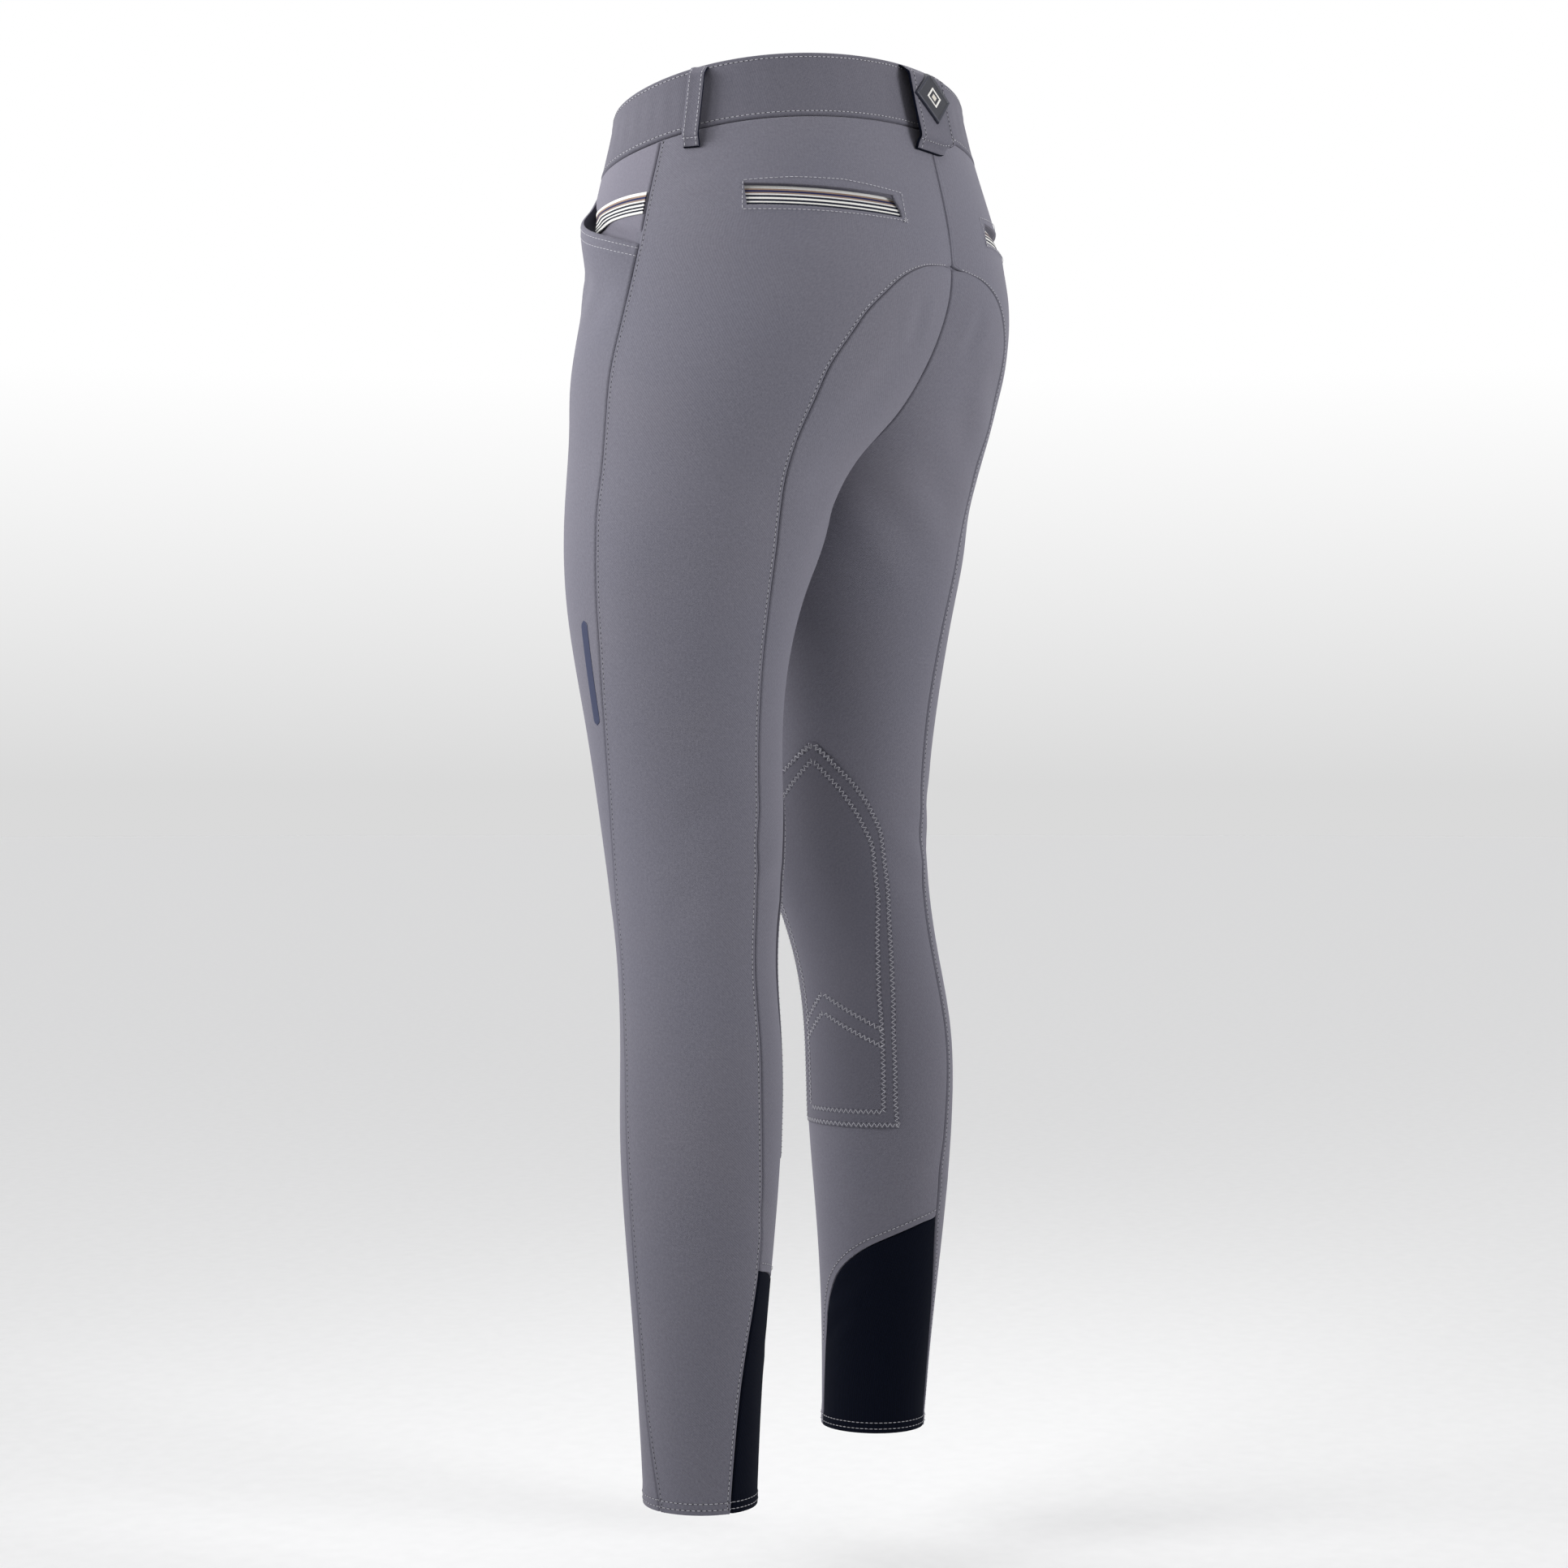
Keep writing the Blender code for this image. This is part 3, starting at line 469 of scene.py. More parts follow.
def painted_hole_shade_runs(runs):
    """Painted shade of the needle holes at the ends of stitches: very short dark runs where the holes' shadow
    falls.
    """
    made = []
    for (a0, a1, n), (b0, b1, _) in zip(runs, runs[1:]):
        gap = b0 - a1
        if np.linalg.norm(gap) < 0.0025:
            made.append((a1 - gap * 0.15 + n * 0.00002, a1 + gap * 1.15 + n * 0.00002, n))
    return made


def painted_zigzag_shade_runs(runs):
    """Painted shade in the open side of every turn of a zigzag: short dark runs where the cloth there lies in
    shadow.
    """
    made = []
    for (a0, a1, n), (b0, b1, _) in zip(runs, runs[1:]):
        if np.linalg.norm(a1 - b0) < 0.0006:
            mid = (a0 + b1) / 2
            way = (b1 - a0) / max(np.linalg.norm(b1 - a0), 1e-9)
            made.append((mid - way * 0.0004, mid + way * 0.0004, n))
    return made


def sew(name, runs, material):
    """Every stitch of some runs as one piece: short plump lengths of thread."""
    seed = bmesh.new()
    bmesh.ops.create_uvsphere(seed, u_segments=6, v_segments=4, radius=0.5)
    shape = bpy.data.meshes.new("stitch")
    seed.to_mesh(shape)
    seed.free()
    bm = bmesh.new()
    for start, stop, n in runs:
        way = stop - start
        size = np.linalg.norm(way)
        z = way / size
        x = np.cross(n, z)
        x /= np.linalg.norm(x)
        y = np.cross(z, x)
        mid = (start + stop) / 2 + n * THREAD * 0.22
        rows = [[x[i] * THREAD, y[i] * THREAD * 0.8, z[i] * (size + THREAD * 0.6), mid[i]] for i in range(3)]
        one = shape.copy()
        one.transform(Matrix(rows + [[0, 0, 0, 1]]))
        bm.from_mesh(one)
        bpy.data.meshes.remove(one)
    for f in bm.faces:
        f.smooth = True
    bpy.data.meshes.remove(shape)
    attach(finished(bm, name, material), "root")


# ---- materials -------------------------------------------------------------------------------
def linear(hex_colour):
    """An sRGB hex colour as linear values."""
    parts = [int(hex_colour[k:k + 2], 16) / 255 for k in (1, 3, 5)]
    return tuple(c / 12.92 if c <= 0.04045 else ((c + 0.055) / 1.055) ** 2.4 for c in parts) + (1.0,)


def add(tree, kind, inputs=None, stops=None, **settings):
    """A node with its settings; inputs are values or the sockets that feed it."""
    node = tree.nodes.new("ShaderNode" + kind)
    for key, value in settings.items():
        setattr(node, key, value)
    for key, value in (inputs or {}).items():
        if isinstance(value, bpy.types.NodeSocket):
            tree.links.new(value, node.inputs[key])
        else:
            node.inputs[key].default_value = value
    if stops:
        ramp = node.color_ramp
        while len(ramp.elements) < len(stops):
            ramp.elements.new(1.0)
        for element, (spot, colour) in zip(ramp.elements, stops):
            element.position = spot
            element.color = colour if len(colour) == 4 else (*colour, 1.0)
    return node


BLEND = {"data_type": "RGBA"}
TIMES = {"data_type": "RGBA", "blend_type": "MULTIPLY"}


def fresh(name):
    """An empty material and its node tree."""
    mat = bpy.data.materials.new(name)
    mat.use_nodes = True
    mat.node_tree.nodes.clear()
    return mat, mat.node_tree


def finish_cloth(tree, colour, rough, bumps, sheen, sheen_tint, specular=0.25):
    """Shader for a textile: broken colour, uneven roughness, yarn relief and the fuzz's sheen."""
    normal = None
    for height, distance, strength in bumps:
        inputs = {"Height": height, "Distance": distance, "Strength": strength}
        if normal is not None:
            inputs["Normal"] = normal
        normal = add(tree, "Bump", inputs).outputs[0]
    shader = add(tree, "BsdfPrincipled", {"Base Color": colour, "Roughness": rough, "Normal": normal,
                                          "Sheen Weight": sheen, "Sheen Roughness": 0.45,
                                          "Sheen Tint": sheen_tint, "Specular IOR Level": specular})
    add(tree, "OutputMaterial", {"Surface": shader.outputs[0]})


def stretch_twill(name, base, light, dark, grain=1.0):
    """Polyamide and elastane twill, piece dyed and brushed: matt, a fine heather, soft sheen at the rim.
    The yarn is 0.35 mm; it is drawn at 0.9 mm so that it shows."""
    mat, tree = fresh(name)
    uv = add(tree, "UVMap", uv_map="cloth").outputs[0]
    place = add(tree, "TexCoord").outputs["Object"]
    stretch = add(tree, "Mapping", {"Vector": uv, "Scale": (1.0, 0.22, 1.0)}).outputs[0]
    heather = add(tree, "TexNoise", {"Vector": stretch, "Scale": 1100.0, "Detail": 3.0,
                                     "Roughness": 0.65}).outputs[0]
    speck = add(tree, "TexNoise", {"Vector": uv, "Scale": 620.0, "Detail": 4.0, "Roughness": 0.7}).outputs[0]
    cloud = add(tree, "TexNoise", {"Vector": place, "Scale": 9.0, "Detail": 3.0, "Roughness": 0.5}).outputs[0]
    yarn = add(tree, "TexWave", {"Vector": uv, "Scale": 0.314 / 0.0009, "Distortion": 1.2, "Detail": 2.0,
                                 "Detail Scale": 2.0}, wave_type="BANDS", bands_direction="DIAGONAL").outputs[1]
    mix = add(tree, "Mix", {0: heather, 6: linear(dark), 7: linear(light)}, **BLEND).outputs[2]
    tone = add(tree, "Mix", {0: 0.45 * grain, 6: linear(base), 7: mix}, **BLEND).outputs[2]
    fleck = add(tree, "ValToRGB", {"Fac": speck},
                stops=[(0.36, (0.86, 0.86, 0.88)), (0.64, (1.12, 1.12, 1.10))])
    tone = add(tree, "Mix", {0: 0.8 * grain, 6: tone, 7: fleck.outputs[0]}, **TIMES).outputs[2]
    drift = add(tree, "ValToRGB", {"Fac": cloud},
                stops=[(0.3, (0.955, 0.960, 0.975)), (0.7, (1.03, 1.02, 1.01))])
    tone = add(tree, "Mix", {0: 1.0, 6: tone, 7: drift.outputs[0]}, **TIMES).outputs[2]
    rough = add(tree, "MapRange", {"Value": speck, "To Min": 0.74, "To Max": 0.92}).outputs[0]
    finish_cloth(tree, tone, rough, [(yarn, 0.00010, 0.55), (speck, 0.00016, 0.50)], 0.28, linear("#c9c6d2"))
    return mat


def cuff_knit(name):
    """Navy elastane rib knit, matt with fine upright ribs of 1.1 mm and a faint lint."""
    mat, tree = fresh(name)
    uv = add(tree, "UVMap", uv_map="cloth").outputs[0]
    rib = add(tree, "TexWave", {"Vector": uv, "Scale": 0.314 / 0.0011, "Distortion": 0.6, "Detail": 1.0,
                                "Detail Scale": 3.0}, wave_type="BANDS", bands_direction="X").outputs[1]
    lint = add(tree, "TexNoise", {"Vector": uv, "Scale": 700.0, "Detail": 4.0, "Roughness": 0.7}).outputs[0]
    # Painted shade: the rib wave darkens the navy in the sunk wales between the raised ribs.
    tone = add(tree, "Mix", {0: rib, 6: linear("#02040b"), 7: linear("#080d1d")}, **BLEND).outputs[2]
    fleck = add(tree, "ValToRGB", {"Fac": lint}, stops=[(0.35, (0.8, 0.8, 0.82)), (0.68, (1.25, 1.25, 1.22))])
    tone = add(tree, "Mix", {0: 0.8, 6: tone, 7: fleck.outputs[0]}, **TIMES).outputs[2]
    rough = add(tree, "MapRange", {"Value": lint, "To Min": 0.80, "To Max": 0.95}).outputs[0]
    finish_cloth(tree, tone, rough, [(rib, 0.00016, 0.7), (lint, 0.00012, 0.5)], 0.03, linear("#56608c"), 0.08)
    return mat


STRIPE_COLUMNS = ("from the lower edge", "colour")
STRIPES = [(0.00, "#dddcd8"), (0.095, "#060b22"), (0.180, "#e3e2de"), (0.245, "#060b22"), (0.335, "#e5e4e0"),
           (0.425, "#060b22"), (0.520, "#dedddb"), (0.590, "#8f7c6f"), (0.665, "#0f1a4c"), (0.765, "#957e6c"),
           (0.850, "#e8e7e3")]


def striped_ribbon(name):
    """Woven grosgrain ribbon in polyester: lengthwise stripes, fine cross ribs of 0.7 mm, a soft gloss."""
    mat, tree = fresh(name)
    uv = add(tree, "UVMap", uv_map="cloth").outputs[0]
    parts = add(tree, "SeparateXYZ", {0: uv}).outputs
    wobble = add(tree, "TexNoise", {"Vector": uv, "Scale": 900.0, "Detail": 2.0}).outputs[0]
    shift = add(tree, "MapRange", {"Value": wobble, "To Min": -0.010, "To Max": 0.010}).outputs[0]
    spot = add(tree, "Math", {0: parts[1], 1: shift}, operation="ADD").outputs[0]
    stripe = add(tree, "ValToRGB", {"Fac": spot}, stops=[(a, linear(c)) for a, c in STRIPES])
    stripe.color_ramp.interpolation = "CONSTANT"
    long_way = add(tree, "CombineXYZ", {0: parts[0]}).outputs[0]
    rib = add(tree, "TexWave", {"Vector": long_way, "Scale": 0.314 / 0.0007, "Distortion": 0.3},
              wave_type="BANDS", bands_direction="X").outputs[1]
    # Painted shade: the stripe colour darkens in the troughs between the cross ribs.
    painted_rib_shade = add(tree, "ValToRGB", {"Fac": rib}, stops=[(0.1, (0.70, 0.70, 0.72)), (0.6, (1.0, 1.0, 1.0))])
    tone = add(tree, "Mix", {0: 0.7, 6: stripe.outputs[0], 7: painted_rib_shade.outputs[0]}, **TIMES).outputs[2]
    rough = add(tree, "MapRange", {"Value": wobble, "To Min": 0.5, "To Max": 0.68}).outputs[0]
    finish_cloth(tree, tone, rough, [(rib, 0.00012, 0.6)], 0.03, linear("#d8d8dc"), 0.25)
    return mat


def sewing_thread(name, hex_colour):
    """Bonded polyester thread: two plies, a dull shine."""
    mat, tree = fresh(name)
    place = add(tree, "TexCoord").outputs["Object"]
    ply = add(tree, "TexWave", {"Vector": place, "Scale": 0.314 / 0.0006, "Distortion": 1.0},
              wave_type="BANDS", bands_direction="DIAGONAL").outputs[1]
    base = linear(hex_colour)
    # Painted shade: the colour darkens in the grooves between the twisted plies.
    deep = tuple(c * 0.68 for c in base[:3]) + (1.0,)
    tone = add(tree, "Mix", {0: ply, 6: deep, 7: base}, **BLEND).outputs[2]
    rough = add(tree, "MapRange", {"Value": ply, "To Min": 0.46, "To Max": 0.62}).outputs[0]
    finish_cloth(tree, tone, rough, [(ply, 0.00006, 0.5)], 0.1, linear("#ffffff"), 0.4)
    return mat


def moulded_rubber(name):
    """Soft PVC badge, moulded in colours: satin navy, raised pale lines, faint grain."""
    mat, tree = fresh(name)
    uv = add(tree, "UVMap", uv_map="cloth").outputs[0]
    parts = add(tree, "SeparateXYZ", {0: uv}).outputs
    inset = add(tree, "Math", {0: parts[0], 1: parts[1]}, operation="MAXIMUM").outputs[0]
    lines = add(tree, "ValToRGB", {"Fac": inset}, stops=[
        (0.00, linear("#c9c3b8")), (0.15, linear("#0e1120")), (0.30, linear("#dcdad4")),
        (0.40, linear("#0e1120")), (0.80, linear("#0b0e1a")), (0.84, linear("#12162a"))])
    lines.color_ramp.interpolation = "CONSTANT"
    place = add(tree, "TexCoord").outputs["Object"]
    grain = add(tree, "TexNoise", {"Vector": place, "Scale": 1400.0, "Detail": 3.0}).outputs[0]
    vary = add(tree, "ValToRGB", {"Fac": grain}, stops=[(0.3, (0.88, 0.88, 0.9)), (0.7, (1.08, 1.08, 1.08))])
    tone = add(tree, "Mix", {0: 1.0, 6: lines.outputs[0], 7: vary.outputs[0]}, **TIMES).outputs[2]
    rough = add(tree, "MapRange", {"Value": grain, "To Min": 0.38, "To Max": 0.55}).outputs[0]
    bump = add(tree, "Bump", {"Height": grain, "Distance": 0.00008, "Strength": 0.4}).outputs[0]
    shader = add(tree, "BsdfPrincipled", {"Base Color": tone, "Roughness": rough, "Normal": bump, "IOR": 1.52})
    add(tree, "OutputMaterial", {"Surface": shader.outputs[0]})
    return mat


def printed_film(name):
    """Heat-set matt navy film, following the cloth's grain, a little rubbed at its edge."""
    mat, tree = fresh(name)
    place = add(tree, "TexCoord").outputs["Object"]
    grain = add(tree, "TexNoise", {"Vector": place, "Scale": 900.0, "Detail": 4.0, "Roughness": 0.7}).outputs[0]
    tone = add(tree, "Mix", {0: grain, 6: linear("#18203c"), 7: linear("#2e3658")}, **BLEND).outputs[2]
    rough = add(tree, "MapRange", {"Value": grain, "To Min": 0.48, "To Max": 0.70}).outputs[0]
    bump = add(tree, "Bump", {"Height": grain, "Distance": 0.00008, "Strength": 0.5}).outputs[0]
    shader = add(tree, "BsdfPrincipled", {"Base Color": tone, "Roughness": rough, "Normal": bump})
    add(tree, "OutputMaterial", {"Surface": shader.outputs[0]})
    return mat


def button_resin(name):
    """Turned polyester button, grey with faint horn-like streaks, polished face."""
    mat, tree = fresh(name)
    place = add(tree, "TexCoord").outputs["Object"]
    streak = add(tree, "TexNoise", {"Vector": place, "Scale": 260.0, "Detail": 4.0,
                                    "Distortion": 1.5}).outputs[0]
    tone = add(tree, "Mix", {0: streak, 6: linear("#3f3e47"), 7: linear("#6f6e79")}, **BLEND).outputs[2]
    rough = add(tree, "MapRange", {"Value": streak, "To Min": 0.22, "To Max": 0.40}).outputs[0]
    shader = add(tree, "BsdfPrincipled", {"Base Color": tone, "Roughness": rough, "IOR": 1.54})
    add(tree, "OutputMaterial", {"Surface": shader.outputs[0]})
    return mat


TWILL = stretch_twill("grey stretch twill, brushed", "#676670", "#7c7b87", "#54535c")
BAND_TWILL = stretch_twill("grey stretch twill, waistband", "#5b5a64", "#6f6e79", "#4a4952")
# The knee patch is the leg's own twill; this darker copy of it is painted shade of the inner knee.
PATCH_TWILL_PAINTED_DARKER = stretch_twill("grey stretch twill, knee patch, darker as painted shade", "#5d5c66", "#706f7a", "#4c4b54", 0.9)
FACING = stretch_twill("grey pocket facing, fine twill", "#6f6d78", "#83818c", "#5c5a65", 0.7)
KNIT = cuff_knit("navy stretch rib knit")
RIBBON = striped_ribbon("striped grosgrain ribbon")
PALE_THREAD = sewing_thread("pale grey sewing thread", "#bebdc4")
GREY_THREAD = sewing_thread("grey sewing thread", "#9d9ca5")
# Painted shade: a dark thread-like material for the runs that stand for the shadow in needle holes and in the
# open turns of the zigzag.
HOLE_SHADE_PAINT = sewing_thread("painted shade of needle holes", "#17161d")
RUBBER = moulded_rubber("moulded soft rubber")
FILM = printed_film("navy heat-set film")
RESIN = button_resin("turned resin")


# ---- the cut: seams as lists of (angle, height) ------------------------------------------------
def side_line():
    top = float(side_t(0.905))
    return [(float(side_t(h)), h) for h in SIDE_NODES] + [(top, float(waist_seam(top)))]


def seat_line():
    line = [(float(back_t(h)), h) for h in BACK_NODES] + list(SEAT_EDGE)
    for h in (SEAT_TOP_H,) + YOKE_NODES + (SEAT_RISE_TOP_H,):
        line.append((float(middle(h, True)), h))
    return line


def inner_line():
    return [(float(inner_t(h)), h) for h in INNER_NODES]


def front_rise_line():
    top = float(middle(FRONT_RISE_TOP_H, False))
    return [(float(middle(h, False)), h) for h in FRONT_RISE_NODES] + [(top, float(waist_seam(top)))]


def across(left, right, shares):
    return [[(a[0] + (b[0] - a[0]) * u, a[1] + (b[1] - a[1]) * u) for u in shares] for a, b in zip(left, right)]


def mouth_height(t):
    nodes = [(float(side_t(.836)), .836)] + MOUTH_EDGE + [(MOUTH_TOP_T, float(waist_seam(MOUTH_TOP_T)))]
    nodes = nodes[::-1]
    return np.interp(t, [n[0] for n in nodes], [n[1] for n in nodes])


def gape(t, h):
    """Stand-off of the front pocket's mouth, most in the middle, fading below it."""
    span = float(side_t(.836)) - MOUTH_TOP_T
    u = np.clip((float(side_t(.836)) - t) / span, 0, 1)
    below = np.maximum(mouth_height(t) - h, 0.0)
    return POCKET_GAPE * np.sin(np.pi * u) ** 1.3 * ease(1 - below / 0.045)


def front_panel(side, name):
    left, right = side_line()[:27], inner_line() + front_rise_line()
    shares = [0, .11, .22, .33, .43, .51, .63, .75, .87, 1]
    places = across(left, right, shares)
    top = [left[-1]] + list(MOUTH_EDGE)
    for u in shares[5:]:
        t = MOUTH_TOP_T + (right[-1][0] - MOUTH_TOP_T) * (u - shares[5]) / (1 - shares[5])
        top.append((t, float(waist_seam(t))))
    flat = across(left[-1:], right[-1:], shares)[0]
    for back, share in enumerate((1.0, 0.80, 0.55, 0.30, 0.12)):
        places[-1 - back] = [(p[0] + (a[0] - b[0]) * share, p[1] + (a[1] - b[1]) * share)
                             for p, a, b in zip(places[-1 - back], top, flat)]
    return panel(name, places, side, TWILL, lift=gape)


def side_panel(side, name):
    shares = [0, .10, .20, .31, .415, .52, .63, .735, .83, .92, 1]
    left, right = side_line(), seat_line()
    places = across(left, right, shares)
    for back in (3, 4):
        row, h = places[-back], left[-back][1]
        for j in range(1, len(row) - 1):
            share = max(0.0, (shares[j] - shares[7]) / (1 - shares[7]))
            row[j] = (row[j][0], h + (right[-back][1] - h) * share)
    for back, share in enumerate((1.0, 0.5)):
        row = places[-1 - back]
        for j in range(1, len(row) - 1):
            flat = left[-1][1] + (right[-1][1] - left[-1][1]) * shares[j]
            row[j] = (row[j][0], row[j][1] + (float(waist_seam(row[j][0])) - flat) * share)
    low = len(left) - 4
    more = ([low - .16, low - .06, low + .06, low + .94, low + 1.06, low + 1.18],
            [2.86, 2.95, 3.03, 6.97, 7.05, 7.14])
    return panel(name, places, side, TWILL, edges=("stitched", "stitched", "hem", "plain"),
                 hole=(low, low + 1, 3, 7), extra=more)


def seat_leg_panel(side, name):
    tip_t, tip_h = SEAT_EDGE[-1]
    tip = (tip_t + 0.6 * (float(middle(SEAT_TOP_H, True)) - tip_t), tip_h + 0.6 * (SEAT_TOP_H - tip_h) - 0.0003)
    left = list(CUFF_EDGE) + seat_line()[8:28] + [tip]
    right = [(t + 360, h) for t, h in inner_line()]
    right += [(float(middle(h, True)), h) for h in BACK_RISE_NODES + (.8300,)]
    return panel(name, across(left, right, [k / 10 for k in range(11)]), side, TWILL)


def stretch_cuff(side, name):
    left = [(float(back_t(h)), h) for h in BACK_NODES[:9]]
    corner = CUFF_EDGE[1]
    rise = [(CUFF_EDGE[0][0] + (corner[0] - CUFF_EDGE[0][0]) * k / 8, corner[1] * k / 8) for k in range(9)]
    top = [left[-1]] + list(reversed(CUFF_EDGE))[:-1]
    base = [(left[0][0] + (rise[0][0] - left[0][0]) * k / 8, 0.0) for k in range(9)]
    b, tp, lf, rs = (np.array(x, float) for x in (base, top, left, rise))
    u, v = np.linspace(0, 1, 9)[None, :, None], np.linspace(0, 1, 9)[:, None, None]
    places = (1 - v) * b[None] + v * tp[None] + (1 - u) * lf[:, None] + u * rs[:, None]
    places -= (1 - u) * ((1 - v) * b[0] + v * tp[0]) + u * ((1 - v) * b[-1] + v * tp[-1])
    return panel(name, places, side, KNIT, per=(8, 6))


def knee_patch(side, name):
    places = [[(rear + (fore - rear) * k / 8, h) for k in range(9)] for h, rear, fore in PATCH_ROWS]
    places.append([(PATCH_TOP[0] - 2 + 4 * k / 8, PATCH_TOP[1]) for k in range(9)])
    return panel(name, places, side, PATCH_TWILL_PAINTED_DARKER, lift=lambda t, h: PATCH_OUT + 0 * t, thick=0.0010,
                 edges=("free",) * 4, per=(8, 8))


def pocket_facing(side, name):
    heights = side_line()[26:]
    places = []
    for t0, h0 in heights:
        row = []
        for u in (0, .2, .4, .6, .8, 1):
            t = t0 + (126 - t0) * u
            low = float(mouth_height(t)) - 0.012 * float(ease(u * 4))
            if t < MOUTH_TOP_T:
                low = float(waist_seam(MOUTH_TOP_T)) - 0.022
            share = (h0 - heights[0][1]) / (heights[-1][1] - heights[0][1])
            row.append((t, low + (float(waist_seam(t)) - low) * share) if u else (t0, h0))
        places.append(row)

    def sink(t, h):
        past = np.where(t < MOUTH_TOP_T + 4, 1.0, (mouth_height(t) + 0.012 - h) / 0.010)
        return -0.0034 * ease(past)
    return panel(name, places, side, FACING, lift=sink, thick=0.0010, edges=("plain",) * 4, per=(6, 6))


def ribbon(side, name, places, lift):
    nodes = np.array(places, float)
    cols = np.linspace(0, nodes.shape[1] - 1, 60)
    rows = np.array([0, .03, .08, .2, .35, .5, .65, .8, .92, .97, 1.0])
    edge = flow(nodes, np.tile(cols, (2, 1)))
    fine = edge[0][None] + (edge[1] - edge[0])[None] * rows[:, None, None]
    t, h = fine[..., 0], fine[..., 1]
    form, out = on_form(t, h, side), facing_out(t, h, side)
    rise = lift(t, h) + fold_depth(form, side) - 0.0002 * (np.abs(rows - .5)[:, None] > .46)
    outer = form + out * rise[..., None]
    uv = np.stack([run_length(outer, 1), np.tile(rows[:, None], (1, 60))], -1)
    return cloth_wall(name, outer, outer - out * 0.0008, RIBBON, uv)


def front_ribbon(side, name):
    places = []
    for base in (0.8555, 0.8700):
        start = float(side_t(base)) - 0.6
        places.append([(start + (152 - start - .6) * k / 5, base - 0.006 * (k / 5) ** 2) for k in range(6)])

    def lie(t, h):
        past = (mouth_height(t) + 0.012 - h) / 0.010
        return 0.0012 - 0.0034 * ease(past) * 0.6
    return ribbon(side, name, places, lie)


def back_ribbon(side, name):
    places = [[(t, h) for t in (208, 211.7, 222, 232.5, 243.5, 254, 258)] for h in (0.8562, 0.8722)]
    return ribbon(side, name, places, lambda t, h: -0.0017 - 0.0030 * ease((h - 0.862) / 0.011))


def edge_rows(n, size):
    """Shares from edge to edge of a strip of this width, closer at its edges."""
    near = np.array([.0001, .0006, .0012, .0020, .0026, .0032, .0042]) / size
    near = near * min(1.0, 0.35 / near[-1])
    return np.concatenate([near, np.linspace(near[-1], 1 - near[-1], n + 2)[1:-1], (1 - near)[::-1]])


def waistband(name):
    """One band right round; its left end laps over the right at the centre front."""
    v = edge_rows(10, BAND_W)[:, None]
    h_front = waist_seam(90) + BAND_W * v
    h_back = waist_seam(270) + BAND_W * v
    front, back = middle(h_front, False), middle(h_back, True)
    lap_u = np.concatenate([[.0005, .002, .004], np.linspace(.006, 1, 30)[1:]])[None]
    lap = LAP_T + (front - LAP_T) * (lap_u - lap_u[0, 0])
    half_u = np.linspace(0, 1, 150)[1:][None]
    left = front + (back - front) * half_u
    right = back + (front - back) * half_u[:, :-1]
    t = np.concatenate([lap, left, right, front + 0.1 + 0 * v], 1)
    side = np.concatenate([-np.ones(lap.shape[1]), np.ones(149), -np.ones(149)])[None] + 0 * t
    h = waist_seam(t) + BAND_W * v
    h = h + np.where(v < .5, HALF_GAP, 0)
    form, out = on_form(t, h, side), facing_out(t, h, side)
    k = np.arange(t.shape[1])
    over = np.where(k < lap.shape[1], 1.0, ease((LAP_T + 1 - t) / 10) * (side > 0) * (k < 80))
    d = v * BAND_W
    rise = edge_shape("stitched", d) + edge_shape("hem", BAND_W - d) + over * (CLOTH + 0.0006)
    end_d = run_length(form, 1)
    ripple = 0.00035 * np.sin(t * 0.9 + 3 * v) * np.exp(-((v - .5) / .3) ** 2) * 0.5
    rise = rise + edge_shape("free", end_d) + ripple
    outer = form + out * rise[..., None]
    inner = form + out * (rise * 0.4 + over * (CLOTH + 0.0006) * 0.6 - CLOTH * 1.2)[..., None]
    piece = cloth_wall(name, outer, inner, BAND_TWILL, np.stack([end_d, h], -1))
    up = run_length(form, 0)
    made = {"t": t, "h": h, "at": outer, "out": out, "from": {"B": up, "T": up[-1:] - up, "L": end_d}}
    return piece, made


def place_at(x, h, back=True):
    side = np.where(np.asarray(x) >= 0, 1.0, -1.0)
    t = middle(h, back, np.abs(x))
    n = facing_out(t, h, side)
    turn = ease(np.abs(x) / 0.006)[..., None]
    n = n * np.stack([turn[..., 0], 1 + 0 * turn[..., 0], 1 + 0 * turn[..., 0]], -1)
    return on_form(t, h, side), n / np.linalg.norm(n, axis=-1, keepdims=True)


